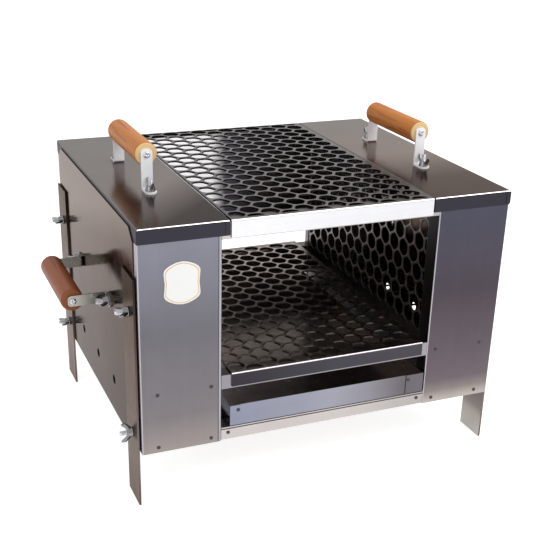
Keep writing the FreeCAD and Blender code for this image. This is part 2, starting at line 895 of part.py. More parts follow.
def strap(name):
    """One strap in its own frame: arm upwards, foot towards the front."""
    body = new_body(name)
    half, thickness = size.strap_width / 2, size.strap_sheet
    back = thickness / 2
    block(body, "Additive", ((-half, half), (-back, back), (0, size.strap_rise)))
    bore(body, "Additive", "Y", (0, -back, size.strap_rise), half, thickness)
    foot = block(body, "Additive", ((-half, half), (-size.strap_foot, back), (0, thickness)))
    corners = body.newObject("PartDesign::Chamfer", f"{name}_corners")
    doc.recompute()
    corners.Base = (foot, [
        f"Edge{number}" for number, edge in enumerate(foot.Shape.Edges, start=1)
        if edge_runs(edge, "Z") and near(edge.CenterOfMass.y, -size.strap_foot)
    ])
    bind(corners, "Size", size.strap_corner)

    def is_bend(edge):
        middle = edge.CenterOfMass
        return edge_runs(edge, "X") and near(middle.y, back) and near(middle.z, 0)

    round_edges(body, corners, size.strap_bend, is_bend)
    drill_sheet(body, "Y", (0, 0, size.strap_rise), size.screw_radius + size.screw_hole_play, thickness)
    drill_sheet(body, "Z", (0, -size.stud_reach, 0), size.bolt_radius + size.bolt_hole_play, thickness)
    return body


def grip(name):
    """A turned wooden grip along Y with rounded ends and a pilot hole in each end."""
    body = new_body(name)
    sketch = sketch_on(body, "XZ_Plane")
    draw_circle(sketch, (0, 0), size.grip_radius)
    half = size.strap_place - size.strap_sheet / 2 - size.seat_gap
    stick = pad(body, sketch, half * 2, midplane=True)
    round_edges(body, stick, size.grip_round, lambda edge: not edge_runs(edge, "Y"))
    pilot = size.screw_length
    radius = size.screw_radius + size.screw_hole_play
    bore(body, "Subtractive", "Y", (0, -half, 0), radius, pilot)
    bore(body, "Subtractive", "Y", (0, half - pilot, 0), radius, pilot)
    return keep(name, body)


def handle(kind, side):
    label = f"{SIDE_NAMES[side]}_{kind}"
    rotation, base = handle_seat(kind, side, 0, size.strap_rise)
    place(grip(f"{label}_grip"), rotation, base)
    straps, fasteners = [], []
    for end in (FRONT, REAR):
        name = f"{label}_{END_NAMES[end]}"
        facing = Rotation(UP, 0 if end == FRONT else 180)
        rotation, base = handle_seat(kind, side, size.strap_place * end, 0)
        straps.append(strap(f"{name}_strap"))
        place(straps[-1], rotation * facing, base)
        stud_line = (size.strap_place + size.stud_reach) * end
        rotation, base = handle_seat(kind, side, stud_line, -size.panel_sheet)
        fasteners.append(bolt(f"{name}_stud", size.panel_sheet + size.strap_sheet))
        place(fasteners[-1], rotation, base)
        rotation, base = handle_seat(kind, side, stud_line, size.strap_sheet + size.seat_gap)
        place(wing_nut(f"{name}_wing_nut"), rotation * WINGS_ALONG_DEPTH, base)
        outer_face = (size.strap_place + size.strap_sheet / 2) * end
        rotation, base = handle_seat(kind, side, outer_face, size.strap_rise)
        fasteners.append(screw(f"{name}_screw"))
        place(fasteners[-1], Rotation(Vector(1, 0, 0), -90 * end), base)
    group(f"{label}_straps", straps)
    group(f"{label}_fasteners", fasteners)


# Leg bolts: through the panels' outer folds, the side panels and the legs, with wing nuts outside
def leg_fixing(side, end, level, height):
    name = f"{SIDE_NAMES[side]}_{END_NAMES[end]}_{level}"
    outwards = Rotation(Vector(0, 1, 0), 90 * side)
    inner_face = size.tower_outer - size.panel_sheet
    outer_face = side_outer() + size.leg_sheet
    piece = bolt(f"{name}_bolt", outer_face - inner_face)
    place(piece, outwards, (inner_face * side, size.leg_place * end, height))
    nut_turn = WINGS_ALONG_DEPTH if level == "upper" else Rotation()
    seat = (outer_face + size.seat_gap) * side
    place(wing_nut(f"{name}_wing_nut"), outwards * nut_turn, (seat, size.leg_place * end, height))
    return piece


def rivet_at(name, end, stack, across, face, height):
    piece = rivet(name, stack)
    place(piece, Rotation(Vector(1, 0, 0), -90 * end), (across, face * end, height))
    return piece


def panel_rivets():
    """Rivets of the ash floors, the charcoal grates and the tray runners."""
    rivets = []
    levels = {
        "ash": (size.ash_rivet_height, size.panel_sheet),
        "coal": (size.coal_rivet_height, size.mesh_sheet),
    }
    for side in (LEFT, RIGHT):
        for end in (FRONT, REAR):
            where = f"{SIDE_NAMES[side]}_{END_NAMES[end]}_rivet"
            for level, (height, tab) in levels.items():
                stack = size.panel_sheet + tab
                for distance in rivet_places(end):
                    across = distance * side
                    rivets.append(rivet_at(f"{level}_{where}", end, stack, across, size.tower_depth, height))
            across, height = size.runner_place * side, size.runner_rivet_height
            rivets.append(rivet_at(f"runner_{where}", end, size.rail_sheet * 2, across, rail_face(), height))
    return group("panel_rivets", rivets)


def tray_rivets():
    rivets = []
    skin = size.panel_sheet
    height = tray_base() + size.tray_height - size.tray_rivet_drop
    for side in (LEFT, RIGHT):
        for end in (FRONT, REAR):
            name = f"tray_{SIDE_NAMES[side]}_{END_NAMES[end]}_rivet"
            face = tray_wall(end) + skin
            rivets.append(rivet_at(name, end, skin * 2, tray_rivet_place(side), face, height))
    return group("tray_rivets", rivets)


for side in (LEFT, RIGHT):
    for end in (FRONT, REAR):
        face_panel(side, end)
        leg(side, end)
    side_panel(side)
    lid(side)
    ash_floor(side)
    handle("lid", side)
    handle("side", side)
keep_mirrored("mesh_wall", mesh_wall_shape())
keep_mirrored("coal_grate", coal_grate_shape())
for level in rail_levels():
    for end in (FRONT, REAR):
        cross_rail(level, end)
grill("top_grill", size.lid_top, size.top_grill_flange, 0)
grill("lower_grill", size.lower_grill_top, size.lower_grill_flange, size.lower_grill_shift)
drip_tray()
group("tray_runners", [tray_runner(side) for side in (LEFT, RIGHT)])
label_plate()
leg_levels = {"upper": size.leg_upper_bolt, "lower": size.leg_lower_bolt}
group("leg_bolts", [
    leg_fixing(side, end, level, height)
    for side in (LEFT, RIGHT) for end in (FRONT, REAR) for level, height in leg_levels.items()
])
panel_rivets()
tray_rivets()

doc.recompute()
failed = [item.Name for item in doc.Objects if {"Invalid", "Error"} & set(item.State)]
if failed:
    raise RuntimeError(f"failed: {failed}")
for name, piece in nodes.items():
    if piece.Shape.isNull() or not piece.Shape.isValid():
        raise RuntimeError(f"bad shape: {name}")

os.makedirs("parts", exist_ok=True)
for name, piece in nodes.items():
    piece.Shape.exportStep(f"parts/{name}.step")
    print(name, len(piece.Shape.Solids), round(piece.Shape.Volume), piece.Shape.BoundBox)
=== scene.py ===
import json
import math

import bmesh
import bpy
from mathutils import Matrix, Vector

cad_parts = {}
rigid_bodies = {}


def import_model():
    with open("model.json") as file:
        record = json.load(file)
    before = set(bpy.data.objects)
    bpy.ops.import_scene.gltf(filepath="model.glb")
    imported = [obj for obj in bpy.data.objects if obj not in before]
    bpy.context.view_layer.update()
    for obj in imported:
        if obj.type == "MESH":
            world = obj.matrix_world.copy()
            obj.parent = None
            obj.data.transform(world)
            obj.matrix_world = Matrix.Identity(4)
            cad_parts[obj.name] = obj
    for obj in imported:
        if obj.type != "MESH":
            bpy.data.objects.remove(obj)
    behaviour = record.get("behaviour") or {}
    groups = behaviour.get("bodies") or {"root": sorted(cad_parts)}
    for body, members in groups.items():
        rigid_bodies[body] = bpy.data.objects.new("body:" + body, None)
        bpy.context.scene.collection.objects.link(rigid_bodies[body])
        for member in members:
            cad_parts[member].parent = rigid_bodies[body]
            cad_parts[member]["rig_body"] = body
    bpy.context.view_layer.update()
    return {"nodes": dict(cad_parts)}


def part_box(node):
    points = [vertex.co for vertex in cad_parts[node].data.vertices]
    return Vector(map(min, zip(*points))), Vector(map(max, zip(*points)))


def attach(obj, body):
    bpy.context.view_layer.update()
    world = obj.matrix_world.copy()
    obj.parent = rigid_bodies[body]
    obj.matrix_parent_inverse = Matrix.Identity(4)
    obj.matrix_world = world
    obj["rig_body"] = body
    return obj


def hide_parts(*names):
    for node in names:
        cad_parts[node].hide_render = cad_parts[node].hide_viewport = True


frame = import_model()
MM = 0.001
LEFT, RIGHT = -1, 1
FRONT, REAR = -1, 1
SIDES = {"left": LEFT, "right": RIGHT}
ENDS = {"front": FRONT, "rear": REAR}


def mm(*lengths):
    """Lengths in metres from millimetres."""
    return [length * MM for length in lengths]


def turn(degrees, axis):
    return Matrix.Rotation(math.radians(degrees), 4, axis)


# Camera
# It stands where the photograph was taken, left of the middle, looking down by about 25 degrees
# and leaning slightly.
CAMERA_PLACE = Vector((-0.5123, -1.2191, 0.7149))
CAMERA_AZIMUTH, CAMERA_ELEVATION, CAMERA_ROLL = -23.10, 24.51, 1.55
FILM_WIDTH, LENS_LENGTH = 36, 65.97
LENS_SHIFT = (0.0168, 0.0916)


def new_object(name, data):
    made = bpy.data.objects.new(name, data)
    bpy.context.scene.collection.objects.link(made)
    return made


camera = new_object("camera", bpy.data.cameras.new("camera"))
camera.matrix_world = (
    Matrix.Translation(CAMERA_PLACE) @ turn(CAMERA_AZIMUTH, "Z")
    @ turn(90 - CAMERA_ELEVATION, "X") @ turn(CAMERA_ROLL, "Z"))
camera.data.sensor_width = FILM_WIDTH
camera.data.lens = LENS_LENGTH
camera.data.shift_x, camera.data.shift_y = LENS_SHIFT
bpy.context.scene.camera = camera
bpy.context.scene.view_settings.view_transform = "Standard"


# Studio
# A pale floor under a plain white sky, a large soft lamp above the front right and a weaker one
# at the left. The floor and the sky show white, and the floor keeps the grill's shadow.
class Value:
    """A socket whose value changes over a surface. Sums and products of values add their Math nodes."""

    def __init__(self, finish, socket):
        self.finish = finish
        self.socket = socket

    def math(self, operation, first, second):
        return self.finish.node("Math", {"operation": operation}, {0: first, 1: second})

    def __add__(self, other):
        return self.math("ADD", self, other)

    def __sub__(self, other):
        return self.math("SUBTRACT", self, other)

    def __rsub__(self, other):
        return self.math("SUBTRACT", other, self)

    def __mul__(self, other):
        return self.math("MULTIPLY", self, other)

    __radd__ = __add__
    __rmul__ = __mul__


class Finish:
    """The nodes of a material, or of the sky."""

    def __init__(self, owner):
        owner.use_nodes = True
        self.owner = owner
        self.tree = owner.node_tree

    def node(self, kind, settings, inputs, output=0):
        """Adds a node: its settings first, such as an operation or a ramp's stops, then its sockets."""
        made = self.tree.nodes.new("ShaderNode" + kind)
        for name, setting in settings.items():
            if name == "stops":
                self.set_stops(made.color_ramp, setting)
            else:
                setattr(made, name, setting)
        self.feed(made, inputs)
        return Value(self, made.outputs[output])

    def set_stops(self, ramp, stops):
        while len(ramp.elements) < len(stops):
            ramp.elements.new(1.0)
        for element, (position, colour) in zip(ramp.elements, stops):
            element.position = position
            element.color = colour

    def feed(self, node, inputs):
        for name, value in inputs.items():
            if isinstance(value, Value):
                self.tree.links.new(value.socket, node.inputs[name])
            else:
                node.inputs[name].default_value = value

    def blend(self, first, second, share):
        """A colour between two colours."""
        return self.node("Mix", {"data_type": "RGBA"}, {0: share, 6: first, 7: second}, 2)

    def shaded(self, colour, shade):
        """A colour made lighter or darker by a value."""
        settings = {"data_type": "RGBA", "blend_type": "MULTIPLY"}
        return self.node("Mix", settings, {0: 1.0, 6: colour, 7: shade}, 2)

    def place(self):
        """Where a point lies on the piece."""
        return self.node("TexCoord", {}, {}, "Object")

    def normal(self):
        """Which way the piece faces at a point."""
        return self.node("TexCoord", {}, {}, "Normal")

    def stretched(self, place, scale):
        return self.node("Mapping", {}, {"Vector": place, "Scale": scale})

    def noise(self, place, scale, detail, roughness=0.5, distortion=0.0):
        return self.node("TexNoise", {}, {
            "Vector": place, "Scale": scale, "Detail": detail, "Roughness": roughness,
            "Distortion": distortion})

    def relief(self, height, strength, depth, below=None):
        """A bump, laid over another one if that is given."""
        inputs = {"Height": height, "Strength": strength, "Distance": depth}
        if below is not None:
            inputs["Normal"] = below
        return self.node("Bump", {}, inputs)

    def unsigned(self, value):
        return self.node("Math", {"operation": "ABSOLUTE"}, {0: value})

    def distance(self, place, along):
        """How far a place lies along a direction."""
        return self.node("VectorMath", {"operation": "DOT_PRODUCT"}, {0: place, 1: along}, "Value")

    def ramp(self, value, low, high):
        """0 up to the low value, 1 from the high one."""
        return self.node("MapRange", {}, {"Value": value, "From Min": low, "From Max": high})

    def shade(self, inputs):
        self.feed(self.tree.nodes["Principled BSDF"], inputs)


def display(red, green, blue):
    """A colour as it shows on screen, from 0 to 255, as the linear colour that a shader takes."""
    def linear(value):
        share = value / 255
        return share / 12.92 if share <= 0.04045 else ((share + 0.055) / 1.055) ** 2.4
    return (linear(red), linear(green), linear(blue), 1.0)


def seen_rays(finish):
    """1 where the camera, a reflection or glass sees the surface."""
    camera_ray = finish.node("LightPath", {}, {}, "Is Camera Ray")
    glossy_ray = finish.node("LightPath", {}, {}, "Is Glossy Ray")
    glass_ray = finish.node("LightPath", {}, {}, "Is Transmission Ray")
    settings = {"operation": "ADD", "use_clamp": True}
    return finish.node("Math", settings, {0: camera_ray + glossy_ray, 1: glass_ray})


WHITE, BLACK = (1, 1, 1, 1), (0, 0, 0, 1)
SKY_FILL = 0.62
sky = Finish(bpy.data.worlds.new("sky"))
bpy.context.scene.world = sky.owner
sky.feed(sky.tree.nodes["Background"], {
    "Color": WHITE,
    "Strength": seen_rays(sky) * (1 - SKY_FILL) + SKY_FILL,
})

FLOOR_HALF = 12.0
FLOOR_CORNERS = [(-1, -1), (1, -1), (1, 1), (-1, 1)]
FLOOR_GREY, FLOOR_GLOW = display(226, 226, 226), 0.80
floor_mesh = bpy.data.meshes.new("floor")
floor_mesh.from_pydata([(x * FLOOR_HALF, y * FLOOR_HALF, 0) for x, y in FLOOR_CORNERS], [], [(0, 1, 2, 3)])
new_object("floor", floor_mesh)
floor_finish = Finish(bpy.data.materials.new("floor"))
floor_finish.shade({
    "Base Color": FLOOR_GREY,
    "Roughness": 0.9,
    "Specular IOR Level": 0.0,
    "Emission Color": floor_finish.blend(BLACK, WHITE, seen_rays(floor_finish)),
    "Emission Strength": FLOOR_GLOW,
})
floor_mesh.materials.append(floor_finish.owner)

LAMPS = {
    "key": (Vector((0.75, -0.95, 1.75)), 1.3, 20.0),
    "left": (Vector((-1.5, -0.9, 0.9)), 1.0, 4.0),
}
AIM = Vector((0, 0, 0.2))
for lamp_name, (place, width, power) in LAMPS.items():
    lamp = new_object(lamp_name, bpy.data.lights.new(lamp_name, "AREA"))
    lamp.location = place
    lamp.rotation_euler = (AIM - place).to_track_quat("-Z", "Y").to_euler()
    lamp.data.size = width
    lamp.data.energy = power


# Front and rear panels of the towers
# Each is a stainless sheet folded into a channel: a deep outer fold takes the leg bolts, and an
# inner fold, with a lip at the front, frames the fire. Brushed upright, satin.
PANEL_SHEET, PANEL_BEND = mm(1.0, 2.0)
PANEL_BASE, PANEL_NOTCH, PANEL_TOP = mm(73.5, 336.7, 353.7)
PANEL_INNER, PANEL_OUTER, FOLD_END = mm(140.0, 239.0, 177.7)
EDGE_EASE, EASED_TURN = 0.25 * MM, math.radians(50)
BEND_STEPS = 5
FRONT_PLAN = [(152, -177.7), (140, -177.7), (140, -202.7), (239, -202.7), (239, -156.7)]
REAR_PLAN = [(239, 156.7), (239, 202.7), (149.5, 202.7), (149.5, 190)]
# Painted reflection and shade: the panels' tones change up their height, and the right front panel gets
# darker tones as painted shade.
PALE_PANEL = [
    (75, 140, 132, 129), (120, 113, 108, 111), (230, 102, 101, 107), (350, 122, 122, 134)]
DARK_PANEL = [
    (76, 163, 155, 150), (90, 124, 115, 114), (105, 99, 90, 95),
    (120, 95, 86, 92), (230, 71, 64, 71), (350, 71, 72, 85)]
SHADED_PANELS = {"right_front_panel": DARK_PANEL}
# The inner fold's face is painted dark as shade, and the lip and the bends are painted light as a highlight.
FOLD_SHADE_TONE, LIP_HIGHLIGHT_TONE = (44, 40, 44), (160, 157, 162)
# A painted highlight and a thin painted shade line along the left front panel's inner fold.
EDGE_LINE, EDGE_SHADE = display(152, 150, 158), display(72, 69, 76)
EDGE_LINE_END, EDGE_SHADE_END, EDGE_BLUR = mm(143.4, 144.5, 0.3)
UPWARDS, REARWARDS, RIGHTWARDS = (0, 0, 1), (0, 1, 0), (1, 0, 0)
ACROSS, DEPTH, HEIGHT = 0, 1, 2
STRAIGHT, SLANTED = 0.95, 0.2
SMALLEST_TURN, LARGEST_SHARE = 0.01, 0.49


def rounded(points, radii, closed):
    """A run of 2D points with its corners rounded to the radii, as far as the runs beside them allow."""
    points = [Vector(point) for point in points]
    count = len(points)
    corners = range(count) if closed else range(1, count - 1)
    smooth = []
    for index in range(count):
        corner = points[index]
        if index not in corners:
            smooth.append(corner)
            continue
        back, ahead = points[index - 1] - corner, points[(index + 1) % count] - corner
        half_turn = (math.pi - back.angle(ahead)) / 2
        if half_turn < SMALLEST_TURN:
            smooth.append(corner)
            continue
        longest = min(back.length, ahead.length) * LARGEST_SHARE
        reach = min(radii[index] * math.tan(half_turn), longest)
        radius = reach / math.tan(half_turn)
        back, ahead = back.normalized(), ahead.normalized()
        middle = corner + (back + ahead).normalized() * radius / math.cos(half_turn)
        start = (corner + back * reach - middle).normalized()
        end = (corner + ahead * reach - middle).normalized()
        smooth += [middle + start.slerp(end, step / BEND_STEPS) * radius for step in range(BEND_STEPS + 1)]
    return smooth


def join_rows(mesh, rows):
    """Joins each row of corners to the next one with four-sided faces."""
    for low, high in zip(rows, rows[1:]):
        for corners in zip(low, low[1:], high[1:], high):
            mesh.faces.new(corners)


def bent_sheet(outline, bend, levels, lift):
    """A sheet folded along an outline and run through levels. lift turns (u, v, level) into a place."""
    run = rounded(outline, [bend] * len(outline), closed=False)
    sheet = bmesh.new()
    join_rows(sheet, [[sheet.verts.new(lift(u, v, level)) for u, v in run] for level in levels])
    return sheet


def face_outwards(mesh):
    bmesh.ops.recalc_face_normals(mesh, faces=mesh.faces)


def mirror_to(side, mesh):
    """Turns a mesh drawn for the right side into the left one where asked."""
    if side == LEFT:
        bmesh.ops.scale(mesh, vec=(-1, 1, 1), verts=mesh.verts)
        bmesh.ops.reverse_faces(mesh, faces=mesh.faces)


def add_piece(name, mesh, finishes, thickness=0.0, ease=0.0, place=None, node=None):
    """Makes an object of a mesh. A surface gets its thickness below it, and its edges are eased.
    Where a node is named, the piece takes that node's place and body, and the node is hidden."""
    for face in mesh.faces:
        face.smooth = True
    data = bpy.data.meshes.new(name)
    mesh.to_mesh(data)
    mesh.free()
    for finish in finishes:
        data.materials.append(finish.owner)
    piece = new_object(name, data)
    if place is not None:
        piece.matrix_world = place
    if thickness:
        skin = piece.modifiers.new("thickness", "SOLIDIFY")
        skin.thickness = thickness
        skin.offset = -1
        skin.use_even_offset = True
    if ease:
        eased = piece.modifiers.new("ease", "BEVEL")
        eased.width = ease
        eased.segments = 2
        eased.limit_method = "ANGLE"
        eased.angle_limit = EASED_TURN
    flat = piece.modifiers.new("flat", "WEIGHTED_NORMAL")
    flat.weight = 100
    if node:
        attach(piece, frame["nodes"][node]["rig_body"])
        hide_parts(node)
    return piece


def darker(colour, share):
    return (*(value * share for value in colour[:3]), 1.0)


def graded(finish, place, along, tones):
    """A tone that changes along a direction. Each tone is a distance in mm and the colour on screen."""
    first, last = tones[0][0], tones[-1][0]
    share = finish.ramp(finish.distance(place, along), first * MM, last * MM)
    stops = [((reach - first) / (last - first), display(*colour)) for reach, *colour in tones]
    return finish.node("ValToRGB", {"stops": stops}, {"Fac": share})


def rolled_steel(name, tone, brushed, satin=0.30, along=None, line_depth=1.0, wave_depth=1.0, streaks=0.4,
                 patch_change=0.12, low_angle=(1.0, 1.0, 1.0, 1.0), detail=None):
    """Stainless sheet: fine lines along one axis, broader bands, handling marks and a slight waviness.
    The tone is one colour, or it changes along a direction, and a detail may change it further.
    low_angle tints the shine where the sheet is seen at a low angle."""
    line_width, line_length = 0.45 * MM, 55 * MM
    steel = Finish(bpy.data.materials.new(name))
    place = steel.place()
    scale = [1 / line_width] * 3
    scale[brushed] = 1 / line_length
    stretched = steel.stretched(place, scale)
    lines = steel.noise(stretched, 1.0, 3.0, 0.7)
    bands = steel.noise(stretched, 0.09, 2.0, 0.6)
    patches = steel.noise(place, 11.0, 3.0, 0.55)
    marks = steel.noise(place, 55.0, 6.0, 0.62)
    waves = steel.noise(place, 7.0, 1.0, 0.4)
    change = (lines - 0.5) * 0.5 + (bands - 0.5) * streaks + (patches - 0.5) * 0.9
    colour = graded(steel, place, along, tone) if along else display(*tone)
    if detail:
        colour = detail(steel, place, colour)
    wavy = steel.relief(waves, 1.0, 0.55 * MM * wave_depth)
    lined = steel.relief(lines, 0.45, 0.05 * MM * line_depth, wavy)
    steel.shade({
        "Base Color": steel.shaded(colour, change * (2 * patch_change) + 1),
        "Metallic": 1.0,
        "Roughness": (lines - 0.5) * 0.12 + (marks - 0.5) * 0.18 + satin,
        "Specular Tint": low_angle,
        "Normal": lined,
    })
    return steel


def panel_mesh(side, plan):
    """A panel in plan, without its outer fold where the lid's skirt drops over the tower."""
    panel = bent_sheet(
        [(x * MM, y * MM) for x, y in plan], PANEL_BEND, (PANEL_BASE, PANEL_NOTCH, PANEL_TOP),
        lambda x, y, z: (x, y, z))
    middles = [(face, face.calc_center_median()) for face in panel.faces]
    fold_start = PANEL_OUTER - PANEL_BEND
    fold = [face for face, middle in middles if middle.z > PANEL_NOTCH and middle.x > fold_start]
    bmesh.ops.delete(panel, geom=fold, context="FACES")
    panel.normal_update()
    for face in panel.faces:
        middle = face.calc_center_median()
        across, along = abs(face.normal.x), abs(face.normal.y)
        if middle.x < PANEL_INNER + PANEL_BEND and across > STRAIGHT:
            face.material_index = 1
        elif abs(middle.y) < FOLD_END + PANEL_BEND or min(across, along) > SLANTED:
            face.material_index = 2
    mirror_to(side, panel)
    return panel


def painted_edge_highlight(steel, place, colour):
    """A painted highlight along the inner fold, where the sheet starts to turn, and a thin painted shade line
    beside it.
    """
    reach = steel.unsigned(steel.distance(place, RIGHTWARDS))
    for tone, end in ((EDGE_SHADE, EDGE_SHADE_END), (EDGE_LINE, EDGE_LINE_END)):
        colour = steel.blend(colour, tone, 1 - steel.ramp(reach, end, end + EDGE_BLUR))
    return colour


# Painted shade on the inner fold's face, and a painted highlight on the lip and the bends.
fold_shade_steel = rolled_steel("panel_fold_painted_shade", FOLD_SHADE_TONE, HEIGHT, 0.36)
lip_highlight_steel = rolled_steel("panel_lip_painted_highlight", LIP_HIGHLIGHT_TONE, HEIGHT, 0.30)
EDGE_LOOKS = {"left_front_panel": painted_edge_highlight}
for side_name, side in SIDES.items():
    for end_name, plan in (("front", FRONT_PLAN), ("rear", REAR_PLAN)):
        node = f"{side_name}_{end_name}_panel"
        tones = SHADED_PANELS.get(node, PALE_PANEL)
        panel_steel = rolled_steel(node, tones, HEIGHT, 0.40, along=UPWARDS, detail=EDGE_LOOKS.get(node))
        finishes = [panel_steel, fold_shade_steel, lip_highlight_steel]
        add_piece(f"{node}_sheet", panel_mesh(side, plan), finishes, PANEL_SHEET, EDGE_EASE, node=node)


# Outer side panels
# Flat stainless sheets with cut upper corners and three air holes near the bottom, clamped
# between the towers' folds and the legs. Smoother and warmer than the front panels.
SIDE_FACE = 240.3 * MM
SIDE_OUTLINE = [(-190, 70.5), (190, 70.5), (190, 336), (175, 350), (-175, 350), (-190, 336)]
AIR_HOLES = [(-82, 117), (0, 117), (82, 117)]
AIR_HOLE_RADIUS = 6.0 * MM
HOLE_STEPS = 32
# The side panels' tones are painted reflection and shade: dark towards the bottom and pale towards the top.
SIDE_TONES = [(0, 60, 46, 40), (200, 66, 53, 47), (285, 98, 84, 77), (325, 138, 126, 119)]
side_steel = rolled_steel("side_panel", SIDE_TONES, HEIGHT, 0.13, along=(0, 0.25, 1),
                          line_depth=0.25, wave_depth=1.3, streaks=0.08, patch_change=0.05,
                          low_angle=(0.58, 0.55, 0.54, 1.0))


def circle(centre_u, centre_v, radius):
    turns = [step * math.tau / HOLE_STEPS for step in range(HOLE_STEPS)]
    return [(centre_u + radius * math.cos(turn), centre_v + radius * math.sin(turn)) for turn in turns]


def holed_sheet(outline, holes, lift):
    """A flat sheet filled round its holes. lift turns (u, v) into a place."""
    sheet = bmesh.new()
    for loop in [outline, *holes]:
        corners = [sheet.verts.new(lift(u, v)) for u, v in loop]
        for first, second in zip(corners, corners[1:] + corners[:1]):
            sheet.edges.new((first, second))
    bmesh.ops.triangle_fill(sheet, use_beauty=True, use_dissolve=False, edges=sheet.edges[:])
    return sheet


def face_towards(mesh, direction):
    """Turns the faces of a flat sheet so that they look in a direction."""
    mesh.normal_update()
    away = [face for face in mesh.faces if face.normal.dot(Vector(direction)) < 0]
    bmesh.ops.reverse_faces(mesh, faces=away)


for side_name, side in SIDES.items():
    sheet = holed_sheet(
        [(y * MM, z * MM) for y, z in SIDE_OUTLINE],
        [circle(y * MM, z * MM, AIR_HOLE_RADIUS) for y, z in AIR_HOLES],
        lambda y, z: (SIDE_FACE * side, y, z))
    face_towards(sheet, (side, 0, 0))
    add_piece(f"{side_name}_side_sheet", sheet, [side_steel], PANEL_SHEET, EDGE_EASE,
              node=f"{side_name}_side_panel")


# Legs
# Four flat strips cut square, bolted over the side panels with two wing nuts each. They come off
# when the nuts are undone. Their inner faces are painted paler than the outer ones as a painted
# reflection, and their tones up the height are painted reflection and shade.
LEG_FACE, LEG_SHEET = mm(242.8, 2.5)
LEG_NEAR, LEG_FAR, LEG_TOP = mm(150, 196, 295)
# Painted reflection and shade up the legs' height, and a paler painted reflection on their inner faces.
LEG_TONES = [(0, 88, 70, 64), (60, 112, 103, 99), (180, 88, 75, 70), (290, 44, 32, 27)]
LEG_INSIDE_TONES = [
    (0, 168, 164, 160), (30, 157, 150, 145), (42, 127, 119, 116),
    (65, 111, 104, 102), (90, 92, 86, 84)]
leg_steel = rolled_steel("leg", LEG_TONES, HEIGHT, along=UPWARDS,
                         low_angle=(0.67, 0.61, 0.58, 1.0))
leg_inside_steel = rolled_steel("leg_inside", LEG_INSIDE_TONES, HEIGHT, along=UPWARDS)
for side_name, side in SIDES.items():
    for end_name, end in ENDS.items():
        near, far = LEG_NEAR * end, LEG_FAR * end
        strip = holed_sheet(
            [(near, 0), (far, 0), (far, LEG_TOP), (near, LEG_TOP)], [], lambda y, z: (LEG_FACE * side, y, z))
        face_towards(strip, (side, 0, 0))
        leg = add_piece(f"{side_name}_{end_name}_strip", strip, [leg_steel, leg_inside_steel],
                        LEG_SHEET, EDGE_EASE, node=f"{side_name}_{end_name}_leg")
        leg.modifiers["thickness"].material_offset = 1


# Mesh walls
# Inner walls of the towers, of punched sheet with rows of six-sided holes. A narrow flange at the
# front lies behind the panel's lip.
COLUMN_PITCH, HOLE_PITCH = mm(21.1, 25.2)
HOLE_POINTS, HOLE_FLATS = mm(12.2, 10.75)
POINT_ROUND, FLAT_ROUND = mm(2.2, 6.5)
SMALLEST_HOLE = 0.3
MESH_SHEET, MESH_EASE = mm(1.5, 0.45)
WALL_FACE, WALL_FLANGE = mm(152.0, 142.0)
WALL_FRONT, WALL_REAR = mm(-177.7, 201.4)
WALL_BASE, WALL_TOP = mm(73.8, 351.2)
WALL_FIELD = mm(160.2, -167.7, 346.2, 189.7)
WALL_PHASE = -0.175


def limit(value, low, high):
    return max(low, min(high, value))


def hole_loop(centre_u, centre_v, field):
    """One six-sided hole with soft corners, cut short at the plain border."""
    low_u, low_v, high_u, high_v = field
    half = HOLE_POINTS / 2
    upper = [(HOLE_POINTS, 0), (half, HOLE_FLATS), (-half, HOLE_FLATS)]
    corners = upper + [(-across, -along) for across, along in upper]
    loop = []
    for across, along in corners:
        point = Vector((limit(centre_u + across, low_u, high_u), limit(centre_v + along, low_v, high_v)))
        radius = FLAT_ROUND if along else POINT_ROUND
        if not loop or (point - loop[-1][0]).length > MM:
            loop.append((point, radius))
    if (loop[0][0] - loop[-1][0]).length < MM:
        loop.pop()
    if len(loop) < 3:
        return None
    wide = max(point.x for point, _ in loop) - min(point.x for point, _ in loop)
    long = max(point.y for point, _ in loop) - min(point.y for point, _ in loop)
    if wide < 2 * SMALLEST_HOLE * HOLE_POINTS or long < 2 * SMALLEST_HOLE * HOLE_FLATS:
        return None
    return rounded([point for point, _ in loop], [radius for _, radius in loop], closed=True)


def punched_holes(field, first_column, phase):
    """Staggered columns of holes inside a field of (low u, low v, high u, high v)."""
    low_u, low_v, high_u, high_v = field
    holes = []
    for column in range(int((high_u - first_column) / COLUMN_PITCH) + 2):
        stagger = phase + (column % 2) / 2
        rows = int((high_v - low_v) / HOLE_PITCH) + 3
        for row in range(-rows, rows + 1):
            loop = hole_loop(first_column + column * COLUMN_PITCH, (row + stagger) * HOLE_PITCH, field)
            if loop:
                holes.append(loop)
    return holes


def quarter_turn(steps):
    """The sines and cosines through a quarter turn."""
    turns = [step * math.pi / 2 / steps for step in range(steps + 1)]
    return [(math.sin(turn), math.cos(turn)) for turn in turns]


def fold_edge(mesh, depth, bend, away, inward, drop):
    """Folds a sheet's edge at a depth: round a bend of that radius, then on for the rest of the drop."""
    edges = [
        edge for edge in mesh.edges
        if edge.is_boundary and all(abs(corner.co.y - depth) < MM / 100 for corner in edge.verts)
    ]
    turns = [(sine, 1 - cosine) for sine, cosine in quarter_turn(BEND_STEPS)]
    moves = [away * (out - last_out) * bend + inward * (down - last_down) * bend
             for (last_out, last_down), (out, down) in zip(turns, turns[1:])]
    for move in moves + [inward * (drop - bend)]:
        made = bmesh.ops.extrude_edge_only(mesh, edges=edges)["geom"]
        moved = [part for part in made if isinstance(part, bmesh.types.BMVert)]
        bmesh.ops.translate(mesh, vec=move, verts=moved)
        edges = [part for part in made if isinstance(part, bmesh.types.BMEdge)]
    face_outwards(mesh)


# Painted glints where the webs of the punched sheets meet.
GLINT_FROM, PLAIN_FROM = -1.5, -1.05


